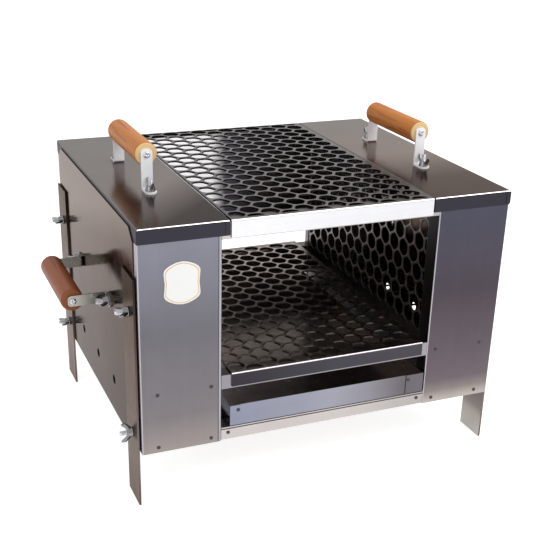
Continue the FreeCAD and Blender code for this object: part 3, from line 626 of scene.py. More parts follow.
def junction_glints(columns_along, first_column, phase, gain):
    """Painted highlights: lighter glints where the webs between three holes meet."""
    def spots(steel, place, colour):
        column = (steel.distance(place, columns_along) - first_column) * (0.5 / COLUMN_PITCH)
        row = steel.distance(place, REARWARDS) * (1 / HOLE_PITCH) - phase
        waves = [column + row, column - row, column * 2]
        heights = [steel.node("Math", {"operation": "COSINE"}, {0: wave * math.tau}) for wave in waves]
        level = heights[0] + heights[1] + heights[2]
        return steel.shaded(colour, (1 - steel.ramp(level, GLINT_FROM, PLAIN_FROM)) * gain + 1)
    return spots


WALL_BEND, WALL_GLINT = 2.2 * MM, 0.7
# The mesh walls are painted dark below the lower grill as painted shade.
WALL_TONES = [(74, 36, 32, 32), (158, 48, 43, 43), (175, 96, 88, 86), (350, 90, 84, 81)]
# The walls' hole edges are painted lighter than the dark lower wall as a painted highlight.
hole_edge_highlight_steel = rolled_steel("wall_hole_edges", (92, 85, 80), ACROSS, 0.34)
wall_first_column = WALL_FIELD[0] + HOLE_POINTS
wall_fold = WALL_FRONT + WALL_BEND
wall_steel = rolled_steel(
    "mesh_wall", WALL_TONES, DEPTH, along=UPWARDS,
    detail=junction_glints(UPWARDS, wall_first_column, WALL_PHASE, WALL_GLINT))
for side_name, side in SIDES.items():
    wall = holed_sheet(
        [(WALL_BASE, wall_fold), (WALL_TOP, wall_fold), (WALL_TOP, WALL_REAR), (WALL_BASE, WALL_REAR)],
        punched_holes(WALL_FIELD, wall_first_column, WALL_PHASE),
        lambda z, y: (WALL_FACE, y, z))
    fold_edge(wall, wall_fold, WALL_BEND, Vector((0, -1, 0)), Vector((-1, 0, 0)),
              WALL_FACE - WALL_FLANGE)
    face_towards(wall, (1, -1, 0))
    mirror_to(side, wall)
    piece = add_piece(f"{side_name}_mesh_sheet", wall, [wall_steel, hole_edge_highlight_steel], MESH_SHEET, MESH_EASE,
                      node=f"{side_name}_mesh_wall")
    piece.modifiers["thickness"].material_offset_rim = 1


# Grills
# Two punched sheets. A folded flange along the front and the rear of each hooks over a rail.
GRILL_HALF, GRILL_DEPTH, GRILL_SHEET, GRILL_BEND = mm(129.5, 204.2, 2.0, 2.5)
GRILL_GLINT = 1.3
GRILL_FIELD = mm(-127.7, -198.2, 127.7, 198.2)
GRILL_FIRST_COLUMN = -119.1 * MM
HARDLY_BENT = 0.4
GRILLS = {
    "top_grill": (355.0 * MM, 21.2 * MM, 0.0, -0.48),
    "lower_grill": (164.3 * MM, 17.8 * MM, 2.2 * MM, -0.42),
}
GRILL_TONES = {
    "top_grill": [(-200, 56, 50, 47), (200, 60, 56, 56)],
    "lower_grill": [(-200, 72, 61, 54), (0, 86, 75, 68), (200, 116, 104, 97)],
}
# The top grill's flange is painted near white as a painted highlight, and the lower grill's flange is painted
# dark as painted shade.
FLANGE_TONES = {
    "top_grill": [(-130, 209, 209, 211), (130, 204, 204, 208)],
    "lower_grill": [(-130, 52, 48, 54), (0, 62, 61, 66), (130, 66, 63, 69)],
}
# The top grill's hole edges are painted dark as painted shade, and the lower grill's are painted lighter as a
# painted highlight.
HOLE_TONES = {"top_grill": (36, 32, 30), "lower_grill": (96, 87, 79)}
# The bends between each grill and its flanges are painted light as a painted highlight.
HEM_HIGHLIGHT_TONES = {"top_grill": (210, 206, 202), "lower_grill": (168, 161, 166)}
for node, (top, flange, shift, phase) in GRILLS.items():
    flat = GRILL_DEPTH - GRILL_BEND
    sheet = holed_sheet(
        [(-GRILL_HALF, -flat), (GRILL_HALF, -flat), (GRILL_HALF, flat), (-GRILL_HALF, flat)],
        punched_holes(GRILL_FIELD, GRILL_FIRST_COLUMN, phase),
        lambda x, y: (x + shift, y, top))
    face_towards(sheet, (0, 0, 1))
    for end in (FRONT, REAR):
        fold_edge(sheet, flat * end, GRILL_BEND, Vector((0, end, 0)), Vector((0, 0, -1)), flange)
    face_towards(sheet, (0, 0, 1))
    for face in sheet.faces:
        steepness = abs(face.normal.y)
        face.material_index = 0 if steepness < HARDLY_BENT else 1 if steepness > STRAIGHT else 2
    junctions = junction_glints(RIGHTWARDS, GRILL_FIRST_COLUMN + shift, phase, GRILL_GLINT)
    finishes = [
        rolled_steel(node, GRILL_TONES[node], DEPTH, along=REARWARDS, detail=junctions),
        rolled_steel(f"{node}_flange", FLANGE_TONES[node], ACROSS, along=RIGHTWARDS),
        rolled_steel(f"{node}_hem", HEM_HIGHLIGHT_TONES[node], ACROSS, 0.24),
        rolled_steel(f"{node}_hole_edges", HOLE_TONES[node], ACROSS, 0.34),
    ]
    piece = add_piece(f"{node}_sheet", sheet, finishes, GRILL_SHEET, MESH_EASE, node=node)
    piece.modifiers["thickness"].material_offset_rim = 3


# Lids
# Shallow covers folded from stainless sheet, open towards the grill, with small tabs round the
# front and rear corners. Half mirror, with the rolling lines along their depth.
LID_INNER, LID_OUTER = mm(131.0, 239.0)
LID_BASE, LID_HEM, LID_TOP = mm(337.0, 353.0, 355.0)
LID_DEPTH, LID_BEND = mm(204.2, 1.9)
TAB_WIDTH, TAB_SHEET, TAB_BASE, TAB_MARGIN = mm(6.0, 0.6, 338.5, 0.2)
# The lids' tones are painted reflections, pale towards the rear and dark towards the front.
LID_TONES = {
    "left": [(-60, 58, 46, 43), (5, 62, 50, 47), (115, 143, 133, 129), (440, 136, 130, 125)],
    "right": [(-190, 80, 60, 50), (-120, 88, 68, 58), (0, 156, 138, 128), (200, 144, 136, 130)],
}
LID_ALONG = {"left": (-1.0, 1.0, 0.0), "right": REARWARDS}
LID_LOW_ANGLE = (0.6, 0.6, 0.6, 1.0)
OPEN_SIDE_AREA = 100 * MM * MM
UPRIGHT, LEVEL = 0.2, 0.97
# The skirts and the corner tabs are painted dark as a painted reflection, the front and rear bends painted
# light as a painted highlight, and the side bends painted darker as painted shade.
skirt_steel = rolled_steel("lid_skirt", (52, 51, 58), ACROSS, low_angle=LID_LOW_ANGLE)
side_bend_shade_steel = rolled_steel("lid_side_bend", (92, 84, 80), DEPTH, 0.24)
lid_bend_highlight_steel = rolled_steel("lid_bend", (232, 229, 226), ACROSS, 0.20)


def box_mesh(low, high):
    box = bmesh.new()
    bmesh.ops.create_cube(box, size=1.0)
    for corner in box.verts:
        corner.co = Vector([low[axis] if corner.co[axis] < 0 else high[axis] for axis in range(3)])
    return box


def stamp(target, source, placing):
    """Adds a placed copy of one mesh to another."""
    data = bpy.data.meshes.new("stamp")
    source.to_mesh(data)
    data.transform(placing)
    target.from_mesh(data)
    bpy.data.meshes.remove(data)


for side_name, side in SIDES.items():
    lid = box_mesh((LID_INNER, -LID_DEPTH, LID_BASE), (LID_OUTER, LID_DEPTH, LID_TOP))
    bottom = [face for face in lid.faces if face.normal.z < -0.5]
    bmesh.ops.delete(lid, geom=bottom, context="FACES")
    bent = [edge for edge in lid.edges if not edge.is_boundary]
    bmesh.ops.bevel(lid, geom=bent, offset=LID_BEND, segments=4, profile=0.5, affect="EDGES")
    everything = lid.verts[:] + lid.edges[:] + lid.faces[:]
    bmesh.ops.bisect_plane(lid, geom=everything, plane_co=(0, 0, LID_HEM), plane_no=UPWARDS)
    middles = [(face, face.calc_center_median()) for face in lid.faces]
    open_side = [
        face for face, middle in middles
        if middle.z < LID_HEM and middle.x < LID_INNER + MM / 10 and face.calc_area() > OPEN_SIDE_AREA
    ]
    bmesh.ops.delete(lid, geom=open_side, context="FACES")
    lid.normal_update()
    for face in lid.faces:
        if face.normal.z < UPRIGHT:
            face.material_index = 1
        elif face.normal.z < LEVEL:
            face.material_index = 2 if abs(face.normal.y) > abs(face.normal.x) else 3
    mirror_to(side, lid)
    lid_steel = rolled_steel(
        f"{side_name}_lid", LID_TONES[side_name], DEPTH, 0.17, along=LID_ALONG[side_name],
        line_depth=0.7, wave_depth=1.3, streaks=0.3, low_angle=LID_LOW_ANGLE)
    finishes = [lid_steel, skirt_steel, lid_bend_highlight_steel, side_bend_shade_steel]
    add_piece(f"{side_name}_lid_cover", lid, finishes, PANEL_SHEET, EDGE_EASE, node=f"{side_name}_lid")
    tabs = bmesh.new()
    for end in (FRONT, REAR):
        for near in (LID_INNER + TAB_MARGIN, LID_OUTER - TAB_MARGIN - TAB_WIDTH):
            faces = sorted((LID_DEPTH * end, (LID_DEPTH + TAB_SHEET) * end))
            tab = box_mesh((near, faces[0], TAB_BASE), (near + TAB_WIDTH, faces[1], LID_TOP - LID_BEND))
            stamp(tabs, tab, Matrix.Identity(4))
            tab.free()
    mirror_to(side, tabs)
    corner_tabs = add_piece(f"{side_name}_lid_tabs", tabs, [skirt_steel], 0, EDGE_EASE)
    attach(corner_tabs, f"{side_name}_lid")


# Rails, runners, charcoal grates, ash floors and the drip tray
# Folded angles that tie the towers together and carry the grills and the tray, the upper rear ones
# as deep sheets. The grates and the ash floors are riveted inside the towers. The top rear sheet's
# inner face carries a painted reflection, pale at the left and dark from the middle on, and a
# painted glow in its left part, which shows through the top grill.
RAIL_TONES = [(-150, 179, 173, 171), (20, 177, 171, 169), (150, 155, 150, 149)]
MIDDLE_RAIL_TONES = [(-150, 132, 129, 136), (150, 140, 136, 142)]
TRAY_TONES = [(-129, 124, 126, 143), (10, 136, 137, 147), (60, 124, 122, 129), (110, 96, 91, 97)]
TRAY_SOOT = display(120, 109, 103)
RAIL_UPWARD_TONE, UPWARD_FROM, UPWARD_FULL = display(66, 58, 54), 0.5, 0.6
# HEM_LINE is the colour of a painted shade line under the lowest rail's top edge.
HEM_LINE, HEM_LINE_BASE, HEM_LINE_TOP, HEM_LINE_BLUR = display(70, 62, 60), *mm(88.0, 89.4, 0.2)
REAR_REFLECTION_TONES = [(-149.5, 214, 212, 216), (-10, 206, 204, 206), (12, 110, 106, 118),
              (50, 76, 72, 78), (149.5, 48, 40, 38)]
REAR_PAINTED_GLOW = [(-149.5, 203, 202, 205), (-12, 200, 198, 200), (10, 0, 0, 0), (149.5, 0, 0, 0)]
RAIL_HALF, RAIL_FACE, RAIL_FLANGE, RAIL_EAR = mm(149.5, 201.9, 20.0, 12.0)
RAIL_SHEET = 1.0 * MM
REAR_RAILS = {"top": mm(224.6, 352.7, 19.5), "middle": mm(112.5, 162.0, 4.0)}


def darker_upward_faces(steel, place, colour):
    """Darkens the faces that look up."""
    level = steel.distance(steel.normal(), UPWARDS)
    return steel.blend(colour, RAIL_UPWARD_TONE, steel.ramp(level, UPWARD_FROM, UPWARD_FULL))


def hem_shade_line(steel, place, colour):
    """A painted shade line under the rounded top edge of the lowest rail."""
    height = steel.distance(place, UPWARDS)
    above_base = steel.ramp(height, HEM_LINE_BASE - HEM_LINE_BLUR, HEM_LINE_BASE)
    above_top = steel.ramp(height, HEM_LINE_TOP, HEM_LINE_TOP + HEM_LINE_BLUR)
    return steel.blend(colour, HEM_LINE, above_base * (1 - above_top))


TRAY_MIDDLE, TRAY_INSIDE = Vector((4.5, -3.0)) * MM, Vector((132.8, 198.3)) * MM
TRAY_BLUR = 0.1 * MM
rail_steel = rolled_steel("rail", RAIL_TONES, ACROSS, along=RIGHTWARDS, detail=darker_upward_faces)
middle_steel = rolled_steel("middle_rail", MIDDLE_RAIL_TONES, ACROSS, along=RIGHTWARDS,
                            detail=darker_upward_faces)
lined_steel = rolled_steel("lined_rail", RAIL_TONES, ACROSS, along=RIGHTWARDS, detail=hem_shade_line)
grate_steel = rolled_steel("coal_grate", (80, 74, 71), DEPTH, 0.36)


def burnt_inside(steel, place, colour):
    """Darkens the inside of the tray, where fat has burnt on."""
    inside = 1.0
    for axis, along in enumerate((RIGHTWARDS, REARWARDS)):
        offset = steel.unsigned(steel.distance(place, along) - TRAY_MIDDLE[axis])
        inside = (1 - steel.ramp(offset, TRAY_INSIDE[axis] - TRAY_BLUR, TRAY_INSIDE[axis])) * inside
    return steel.blend(colour, TRAY_SOOT, inside)


tray_steel = rolled_steel("tray", TRAY_TONES, ACROSS, 0.24, along=RIGHTWARDS, detail=burnt_inside)
CAD_FINISHES = {
    "top_front_rail": rail_steel, "bottom_rear_rail": rail_steel, "tray_runners": rail_steel,
    "middle_front_rail": middle_steel, "bottom_front_rail": lined_steel, "drip_tray": tray_steel,
    "left_coal_grate": grate_steel, "right_coal_grate": grate_steel,
    "left_ash_floor": grate_steel, "right_ash_floor": grate_steel,
}
for node, finish in CAD_FINISHES.items():
    materials = frame["nodes"][node].data.materials
    materials.clear()
    materials.append(finish.owner)

# The top rear sheet's inner face carries a painted reflection and, in its left part, a painted glow.
rear_steel = rolled_steel("rear_rail", REAR_REFLECTION_TONES, HEIGHT, 0.45, along=RIGHTWARDS)
rear_steel.shade({
    "Emission Color": graded(rear_steel, rear_steel.place(), RIGHTWARDS, REAR_PAINTED_GLOW),
    "Emission Strength": 1.0,
})
for level_name, (base, top, hem) in REAR_RAILS.items():
    angle = bent_sheet(
        [(RAIL_FACE - RAIL_FLANGE, top), (RAIL_FACE, top), (RAIL_FACE, base), (RAIL_FACE - hem, base)],
        RAIL_SHEET, (RAIL_HALF, -RAIL_HALF), lambda y, z, x: (x, y, z))
    for side in (LEFT, RIGHT):
        near, far, head = RAIL_FACE - RAIL_EAR, RAIL_FACE - RAIL_SHEET, top - RAIL_SHEET
        corners = [(near, base), (near, head), (far, head), (far, base)]
        ear = [angle.verts.new((RAIL_HALF * side, y, z)) for y, z in corners]
        angle.faces.new(ear if side == LEFT else ear[::-1])
    inside = rear_steel if level_name == "top" else grate_steel
    rail = add_piece(f"{level_name}_rear_angle", angle, [rail_steel, inside], RAIL_SHEET, EDGE_EASE,
                     node=f"{level_name}_rear_rail")
    rail.modifiers["thickness"].material_offset = 1


# Wooden grips
# Turned hardwood rods with eased ends, stained orange brown under clear lacquer. The end grain is
# pale and shows its rings.
GRIP_RADIUS, GRIP_HALF, GRIP_ROUND = mm(14.25, 63.95, 3.2)
LID_GRIP = Vector(mm(186.0, 0, 398.0))
SIDE_GRIP = Vector(mm(283.3, 0, 223.5))
TURN_STEPS = 48


def turned(profile, steps=TURN_STEPS):
    """Turns (radius, height) points about Z."""
    mesh = bmesh.new()
    rings = []
    turns = [step * math.tau / steps for step in range(steps)]
    for radius, height in profile:
        if radius == 0:
            rings.append([mesh.verts.new((0, 0, height))] * steps)
        else:
            rings.append([
                mesh.verts.new((radius * math.cos(turn), radius * math.sin(turn), height)) for turn in turns])
    for low, high in zip(rings, rings[1:]):
        for step in range(steps):
            after = (step + 1) % steps
            corners = []
            for corner in (low[step], low[after], high[after], high[step]):
                if corner not in corners:
                    corners.append(corner)
            mesh.faces.new(corners)
    return mesh


FIGURE_SCALE, PORE_SCALE = (150.0, 9.0, 150.0), (1500.0, 70.0, 1500.0)
RING_SCALE, RING_DEPTH, END_FROM, END_FULL = 120.0, 0.6, 0.55, 0.85


def stained_wood(name, tones):
    """Wood whose figure and pores run along Y. Its faces towards Y show end grain with rings."""
    wood = Finish(bpy.data.materials.new(name))
    deep, light, end_grain = (display(*tone) for tone in tones)
    place = wood.place()
    figure = wood.noise(wood.stretched(place, FIGURE_SCALE), 1.0, 5.0, distortion=1.1)
    fibres = wood.noise(wood.stretched(place, PORE_SCALE), 1.0, 3.0)
    stops = [(0.32, deep), (0.5, light), (0.72, darker(light, 1.12))]
    grain = wood.node("ValToRGB", {"stops": stops}, {"Fac": figure})
    rings = wood.node("TexWave", {"wave_type": "RINGS", "rings_direction": "Y"}, {
        "Vector": place, "Scale": RING_SCALE, "Distortion": 2.5, "Detail": 3.0})
    ends = wood.blend(end_grain, darker(end_grain, 0.72), rings * RING_DEPTH)
    facing = wood.distance(wood.normal(), REARWARDS)
    end_mask = wood.ramp(wood.unsigned(facing), END_FROM, END_FULL)
    body = wood.blend(grain, darker(deep, 0.55), (1 - fibres) * 0.45)
    wood.shade({
        "Base Color": wood.blend(body, ends, end_mask),
        "Roughness": fibres * 0.12 + 0.42,
        "Specular IOR Level": 0.2,
        "Coat Weight": (1 - end_mask) * 0.10,
        "Coat Roughness": 0.22,
        "Normal": wood.relief(fibres, 0.25, 0.12 * MM),
    })
    return wood


# The side grips' tones are darker than the lid grips' as painted shade, and the lid grips' light tone holds a
# painted highlight.
WOODS = {
    "lid": stained_wood("lid_wood", [(150, 76, 22), (210, 128, 46), (240, 208, 156)]),
    "side": stained_wood("side_wood", [(104, 44, 20), (156, 82, 38), (158, 98, 64)]),
}
grip_end = [(0, -GRIP_HALF)]
for sine, cosine in quarter_turn(BEND_STEPS):
    grip_end.append((GRIP_RADIUS - GRIP_ROUND * (1 - sine), -GRIP_HALF + GRIP_ROUND * (1 - cosine)))
grip_body = [(GRIP_RADIUS, share * GRIP_HALF) for share in (-0.6, -0.2, 0.2, 0.6)]
grip_profile = grip_end + grip_body + [(radius, -height) for radius, height in reversed(grip_end)]
along_depth = turn(-90, "X")
for side_name, side in SIDES.items():
    for kind, centre in (("lid", LID_GRIP), ("side", SIDE_GRIP)):
        grip_mesh = turned(grip_profile)
        bmesh.ops.transform(grip_mesh, matrix=along_depth, verts=grip_mesh.verts)
        face_outwards(grip_mesh)
        add_piece(f"{side_name}_{kind}_rod", grip_mesh, [WOODS[kind]],
                  place=Matrix.Translation((centre.x * side, 0, centre.z)), node=f"{side_name}_{kind}_grip")


# Straps
# Zinc-plated flat strips, bent at the foot, that hold the grips. A stud comes up through the foot
# and a screw goes through the arm into the wood.
STRAP_HALF, STRAP_SHEET = mm(7.0, 2.5)
STRAP_RISE, STRAP_ABOVE = mm(43.0, 6.6)
STRAP_FOOT, STRAP_BEND, STRAP_CORNER, STRAP_ROUND = mm(21.5, 3.6, 4.0, 4.6)
STRAP_PLACE, STUD_PLACE = mm(65.5, 79.0)
LID_SEAT, SIDE_SEAT = mm(355.0, 240.3)
STRAP_EASE = 0.4 * MM
CRYSTAL_SCALE, CLOUD_SCALE = 900.0, 120.0


def zinc_plate(name, tone, satin, metal=1.0):
    """Bright zinc: fine crystals and cloudy patches. Less metal makes it paler and flatter."""
    zinc, tone = Finish(bpy.data.materials.new(name)), display(*tone)
    place = zinc.place()
    crystals = zinc.node("TexVoronoi", {}, {"Vector": place, "Scale": CRYSTAL_SCALE}, "Color")
    clouds = zinc.noise(place, CLOUD_SCALE, 4.0, 0.6)
    level = zinc.node("SeparateColor", {}, {"Color": crystals})
    zinc.shade({
        "Base Color": zinc.blend(darker(tone, 0.95), darker(tone, 1.03), level * 0.15 + clouds * 0.85),
        "Metallic": metal,
        "Roughness": (clouds - 0.5) * 0.06 + level * 0.01 + satin,
        "Normal": zinc.relief(clouds, 0.08, 0.08 * MM),
    })
    return zinc


HANDLES = [(side_name, side, kind) for side_name, side in SIDES.items() for kind in ("lid", "side")]
# The lid straps are painted near white with little metal as a painted highlight, and the side straps keep a
# plain zinc tone.
STRAP_ZINC = {
    "lid": zinc_plate("lid_strap_zinc", (248, 249, 253), 0.26, 0.15),
    "side": zinc_plate("side_strap_zinc", (158, 156, 150), 0.26),
}


def strap_mesh():
    """A strap with its arm up along Z and its foot towards -Y."""
    thick = STRAP_SHEET / 2
    corner = rounded([(-STRAP_FOOT, 0), (thick, 0), (thick, STRAP_RISE)], [STRAP_BEND] * 3, closed=False)
    path = [(-STRAP_FOOT, 0, STRAP_HALF - STRAP_CORNER), (-STRAP_FOOT + STRAP_CORNER, 0, STRAP_HALF)]
    path += [(y, z, STRAP_HALF) for y, z in corner[1:-1]]
    top = STRAP_RISE + STRAP_ABOVE
    for sine, cosine in quarter_turn(BEND_STEPS + 1):
        path.append((thick, top - STRAP_ROUND * (1 - sine), STRAP_HALF - STRAP_ROUND * (1 - cosine)))
    strip = bmesh.new()
    rows = [(strip.verts.new((-half, y, z)), strip.verts.new((half, y, z))) for y, z, half in path]
    join_rows(strip, rows)
    face_towards(strip, (0, 1, -1))
    return strip


def handle_place(kind, side, end, along, rise):
    """Where a handle's fitting sits: turned outwards, at a distance along the grip and a rise."""
    facing = turn(0 if end == FRONT else 180, "Z")
    if kind == "lid":
        return Matrix.Translation((LID_GRIP.x * side, along * end, LID_SEAT + rise)) @ facing
    outward = turn(90 * side, "Y")
    return Matrix.Translation(((SIDE_SEAT + rise) * side, along * end, SIDE_GRIP.z)) @ outward @ facing


def joined(source, places):
    """One mesh with a copy of the source at each place. The source is used up."""
    whole = bmesh.new()
    for placing in places:
        stamp(whole, source, placing)
    source.free()
    return whole


for side_name, side, kind in HANDLES:
    places = [handle_place(kind, side, end, STRAP_PLACE, 0) for end in (FRONT, REAR)]
    add_piece(f"{side_name}_{kind}_strips", joined(strap_mesh(), places), [STRAP_ZINC[kind]],
              STRAP_SHEET, STRAP_EASE, node=f"{side_name}_{kind}_straps")


# Studs, screws and leg bolts
# Zinc-plated M6 studs with a round head inside the sheet, cross-head screws into the grips, and
# the eight bolts of the legs.
THREAD_RADIUS, THREAD_ROOT, THREAD_PITCH = mm(3.0, 2.5, 1.0)
THREAD_STEPS = 24
HEAD_RADIUS, HEAD_HEIGHT = mm(5.5, 3.0)
BOLT_REACH, TIP_LENGTH = mm(17.8, 0.3)
THREAD_SECTION = [(THREAD_ROOT, 0.0), (THREAD_RADIUS, 0.42), (THREAD_RADIUS, 0.55), (THREAD_ROOT, 0.97)]
SCREW_HEAD_RADIUS, SCREW_HEAD_HEIGHT = mm(4.0, 2.2)
SCREW_FACE, SCREW_RINGS = 66.75 * MM, 10
CROSS_REACH, CROSS_HALF, CROSS_DEPTH = mm(2.48, 0.55, 1.1)
bolt_zinc = zinc_plate("bolt_zinc", (196, 196, 200), 0.24)


def bolt_mesh(reach):
    """A round head below z = 0 and a real thread up to the reach."""
    head = [(0, -HEAD_HEIGHT), (HEAD_RADIUS * 0.8, -HEAD_HEIGHT), (HEAD_RADIUS, -HEAD_HEIGHT * 0.75),
            (HEAD_RADIUS, 0)]
    core = [(THREAD_ROOT, 0), (THREAD_ROOT, reach - TIP_LENGTH), (THREAD_ROOT * 0.8, reach), (0, reach)]
    bolt = turned(head + core, THREAD_STEPS)
    turns = int((reach - THREAD_PITCH * 1.6) / THREAD_PITCH * THREAD_STEPS)
    rows = []
    for step in range(turns + 1):
        angle = step * math.tau / THREAD_STEPS
        base = step * THREAD_PITCH / THREAD_STEPS
        rows.append([
            bolt.verts.new((radius * math.cos(angle), radius * math.sin(angle), base + part * THREAD_PITCH))
            for radius, part in THREAD_SECTION
        ])
    join_rows(bolt, rows)
    face_outwards(bolt)
    return bolt


def screw_mesh():
    """A domed head with a cross pressed into it, standing on z = 0."""
    profile = [(SCREW_HEAD_RADIUS, 0)]
    for sine, cosine in quarter_turn(SCREW_RINGS)[:-1]:
        profile.append((SCREW_HEAD_RADIUS * cosine, SCREW_HEAD_HEIGHT * (0.35 + 0.65 * sine)))
    head = turned(profile + [(0, SCREW_HEAD_HEIGHT)])
    for corner in head.verts:
        flat = Vector((corner.co.x, corner.co.y))
        if flat.length < CROSS_REACH and min(abs(flat.x), abs(flat.y)) < CROSS_HALF:
            corner.co.z -= CROSS_DEPTH * (1 - flat.length / CROSS_REACH * 0.5)
    face_outwards(head)
    return head


for side_name, side, kind in HANDLES:
    fittings = bmesh.new()
    for end in (FRONT, REAR):
        stud_place = handle_place(kind, side, end, STUD_PLACE, -PANEL_SHEET)
        screw_place = handle_place(kind, side, end, SCREW_FACE, STRAP_RISE) @ turn(90, "X")
        stud = bolt_mesh(BOLT_REACH + PANEL_SHEET)
        for fitting, place in ((stud, stud_place), (screw_mesh(), screw_place)):
            stamp(fittings, fitting, place)
            fitting.free()
    add_piece(f"{side_name}_{kind}_fittings", fittings, [bolt_zinc], node=f"{side_name}_{kind}_fasteners")

LEG_BOLT_HEIGHTS = mm(91.0, 248.0)
LEG_BOLT_DEPTH, LEG_BOLT_HEAD, LEG_BOLT_TIP = mm(173.0, 238.0, 258.1)
bolts = []
for side in (LEFT, RIGHT):
    for end in (FRONT, REAR):
        for height in LEG_BOLT_HEIGHTS:
            place = Matrix.Translation((LEG_BOLT_HEAD * side, LEG_BOLT_DEPTH * end, height))
            bolts.append(place @ turn(90 * side, "Y"))
leg_bolt = bolt_mesh(LEG_BOLT_TIP - LEG_BOLT_HEAD)
add_piece("leg_bolt_set", joined(leg_bolt, bolts), [bolt_zinc], node="leg_bolts")


# Wing nuts
# Sixteen cast M6 wing nuts, zinc plated, each on its own bolt: two on a lid, two on a side panel
# and four on the legs of each side.
NUT_PROFILE = [(3.05, 0), (6.0, 0), (6.2, 0.3), (5.0, 5.9), (4.6, 6.5), (3.4, 6.5), (3.05, 6.2), (3.05, 0)]
WING_STATIONS = [
    (2.6, 0.8, 6.2, 1.9), (6.0, 0.7, 7.6, 1.6), (8.6, 2.9, 11.2, 1.25), (10.8, 5.6, 13.6, 1.2),
    (12.5, 7.6, 13.2, 1.1)]
HUB_STEPS, SMOOTHING_ROUNDS = 32, 3
nut_zinc = zinc_plate("nut_zinc", (128, 127, 128), 0.12)


def wing_nut_mesh():
    """A round hub with two flared wings along X, smoothed like a casting."""
    nut = turned([(radius * MM, height * MM) for radius, height in NUT_PROFILE], HUB_STEPS)
    face_outwards(nut)
    wings = bmesh.new()
    for side in (LEFT, RIGHT):
        rows = []
        for out, low, high, half in WING_STATIONS:
            rows.append([wings.verts.new(Vector((out * side, depth, height)) * MM) for depth, height in
                         ((-half, low), (half, low), (half, high), (-half, high))])
        join_rows(wings, [row + row[:1] for row in rows])
        wings.faces.new(rows[0])
        wings.faces.new(rows[-1])
    face_outwards(wings)
    bmesh.ops.subdivide_edges(wings, edges=wings.edges, cuts=3, use_grid_fill=True, smooth=0.0)
    for _ in range(SMOOTHING_ROUNDS):
        bmesh.ops.smooth_vert(
            wings, verts=wings.verts, factor=0.5, use_axis_x=True, use_axis_y=True, use_axis_z=True)
    stamp(nut, wings, Matrix.Identity(4))
    wings.free()
    return nut


def nut_place(node, outward, wings):
    """Seats a nut where its node lies, with its thread and its wings along the given directions."""
    low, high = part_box(node)
    outward, wings = Vector(outward), Vector(wings)
    depth = abs((high - low).dot(outward))
    seat = (low + high) / 2 - outward * depth / 2
    return Matrix.Translation(seat) @ Matrix((wings, outward.cross(wings), outward)).transposed().to_4x4()


for side_name, side in SIDES.items():
    for end_name in ENDS:
        upper_wings = (0, 0, 1) if (side_name, end_name) == ("right", "front") else (0, 1, 0)
        lower_wings = (0, 0, 1) if end_name == "front" else (0, 1, 0)
        seats = {
            f"{side_name}_lid_{end_name}_wing_nut": ((0, 0, 1), (0, 1, 0)),
            f"{side_name}_side_{end_name}_wing_nut": ((side, 0, 0), (0, 1, 0)),
            f"{side_name}_{end_name}_upper_wing_nut": ((side, 0, 0), upper_wings),
            f"{side_name}_{end_name}_lower_wing_nut": ((side, 0, 0), lower_wings),
        }
        for node, (outward, wings) in seats.items():
            add_piece(f"{node}_casting", wing_nut_mesh(), [nut_zinc],
                      place=nut_place(node, outward, wings), node=node)


# Rivets
# Steel blind rivets with a small pit in the head: four on each front and rear panel, one at each
# end of each runner, and four on the drip tray.
RIVET_RADIUS, RIVET_HEIGHT, PIT_RADIUS, PIT_DEPTH = mm(2.4, 0.9, 0.85, 0.45)
RIVET_RINGS, RIVET_STEPS = 5, 24
PANEL_RIVETS = {FRONT: (153.0, 219.0), REAR: (162.5, 219.0)}
PANEL_RIVET_LEVELS, PANEL_RIVET_FACE = (80.5, 150.3), 202.7
RUNNER_RIVET = (131.0, 201.9, 83.5)
TRAY_RIVETS, TRAY_RIVET_LEVEL, TRAY_FACES = (-118.5, 116.0), 113.0, {FRONT: 203.0, REAR: 197.0}
rivet_steel = zinc_plate("rivet_steel", (74, 70, 72), 0.32)
rivet_profile = [(RIVET_RADIUS, 0)]
for sine, cosine in quarter_turn(RIVET_RINGS)[:-1]:
    rivet_profile.append((
        PIT_RADIUS + (RIVET_RADIUS - PIT_RADIUS) * cosine, RIVET_HEIGHT * (0.25 + 0.75 * sine)))
rivet_profile += [(PIT_RADIUS, RIVET_HEIGHT), (PIT_RADIUS * 0.85, RIVET_HEIGHT - PIT_DEPTH),
                  (0, RIVET_HEIGHT - PIT_DEPTH)]


def rivet_place(x, face, z, end):
    """A rivet head on a face that looks to the front or the rear, in millimetres."""
    towards = turn(90 if end == FRONT else -90, "X")
    return Matrix.Translation(Vector((x, face * end, z)) * MM) @ towards


def rivet_set(name, node, places):
    head = turned(rivet_profile, RIVET_STEPS)
    face_outwards(head)
    add_piece(name, joined(head, places), [rivet_steel], node=node)


panel_places = []
for side in (LEFT, RIGHT):
    for z in PANEL_RIVET_LEVELS:
        for end, columns in PANEL_RIVETS.items():
            panel_places += [rivet_place(x * side, PANEL_RIVET_FACE, z, end) for x in columns]
    for end in (FRONT, REAR):
        x, face, z = RUNNER_RIVET
        panel_places.append(rivet_place(x * side, face, z, end))
rivet_set("panel_rivet_heads", "panel_rivets", panel_places)
tray_places = [
    rivet_place(x, face, TRAY_RIVET_LEVEL, end) for x in TRAY_RIVETS for end, face in TRAY_FACES.items()]
rivet_set("tray_rivet_heads", "tray_rivets", tray_places)


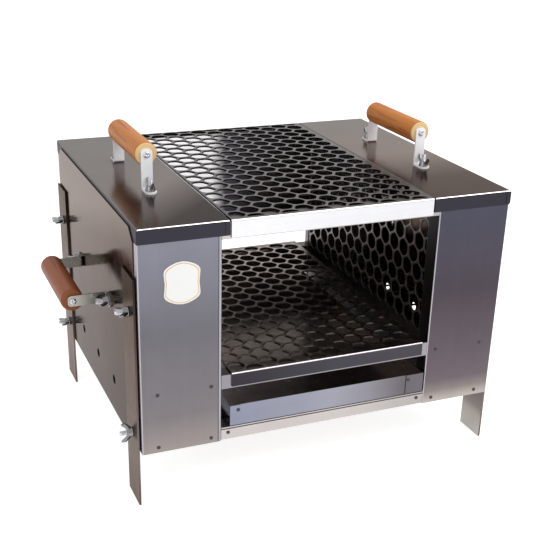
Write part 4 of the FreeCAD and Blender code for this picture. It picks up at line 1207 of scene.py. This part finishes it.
# Plain plate
# A small white enamelled plate on the left front panel, arched at the top and the bottom. It is
# bare but for a thin gold line round it.
PLATE_CENTRE = Vector(mm(-187.65, -202.7, 287.0))
PLATE_CORNER_X, PLATE_CORNER_Z, PLATE_CROWN, PLATE_WAIST = mm(21.8, 16.6, 25.6, 20.2)
PLATE_SHEET, PLATE_EASE, PLATE_ROUND = mm(0.8, 0.2, 8.0)
GOLD_MARGINS, GOLD_SHEET = mm(1.5, 2.2), 0.12 * MM
ARCH_STEPS = 6


def plate_outline(margin):
    """Arched at the top and the bottom, with a slight waist. The margin draws it smaller."""
    half = [(PLATE_WAIST - margin, 0)]
    for step in range(ARCH_STEPS + 1):
        share = 1 - 2 * step / ARCH_STEPS
        rise = (PLATE_CROWN - PLATE_CORNER_Z) * (1 - share * share)
        half.append(((PLATE_CORNER_X - margin) * share, PLATE_CORNER_Z - margin + rise))
    corners = half + [(-x, -z) for x, z in half]
    return rounded(corners, [PLATE_ROUND] * len(corners), closed=True)


def plate_place(x, z, out):
    return (PLATE_CENTRE.x + x, PLATE_CENTRE.y - PLATE_SHEET - out, PLATE_CENTRE.z + z)


enamel = Finish(bpy.data.materials.new("white_enamel"))
enamel_flow = enamel.noise(enamel.place(), 140.0, 3.0)
enamel.shade({
    "Base Color": enamel.blend(display(249, 249, 247), display(253, 253, 251), enamel_flow),
    "Roughness": enamel_flow * 0.06 + 0.35,
    "Coat Weight": 0.1,
    "Normal": enamel.relief(enamel_flow, 0.05, 0.02 * MM),
})
gold = zinc_plate("gold_line", (196, 158, 84), 0.26)
plate_mesh = holed_sheet(plate_outline(0), [], lambda x, z: plate_place(x, z, 0))
face_towards(plate_mesh, (0, -1, 0))
add_piece("plain_plate", plate_mesh, [enamel], PLATE_SHEET, PLATE_EASE, node="label_plate")
line_mesh = bmesh.new()
line_rows = [[line_mesh.verts.new(plate_place(*point, GOLD_SHEET)) for point in pair]
             for pair in zip(*(plate_outline(margin) for margin in GOLD_MARGINS))]
join_rows(line_mesh, line_rows + line_rows[:1])
face_towards(line_mesh, (0, -1, 0))
line = add_piece("plate_line", line_mesh, [gold], GOLD_SHEET)
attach(line, "root")
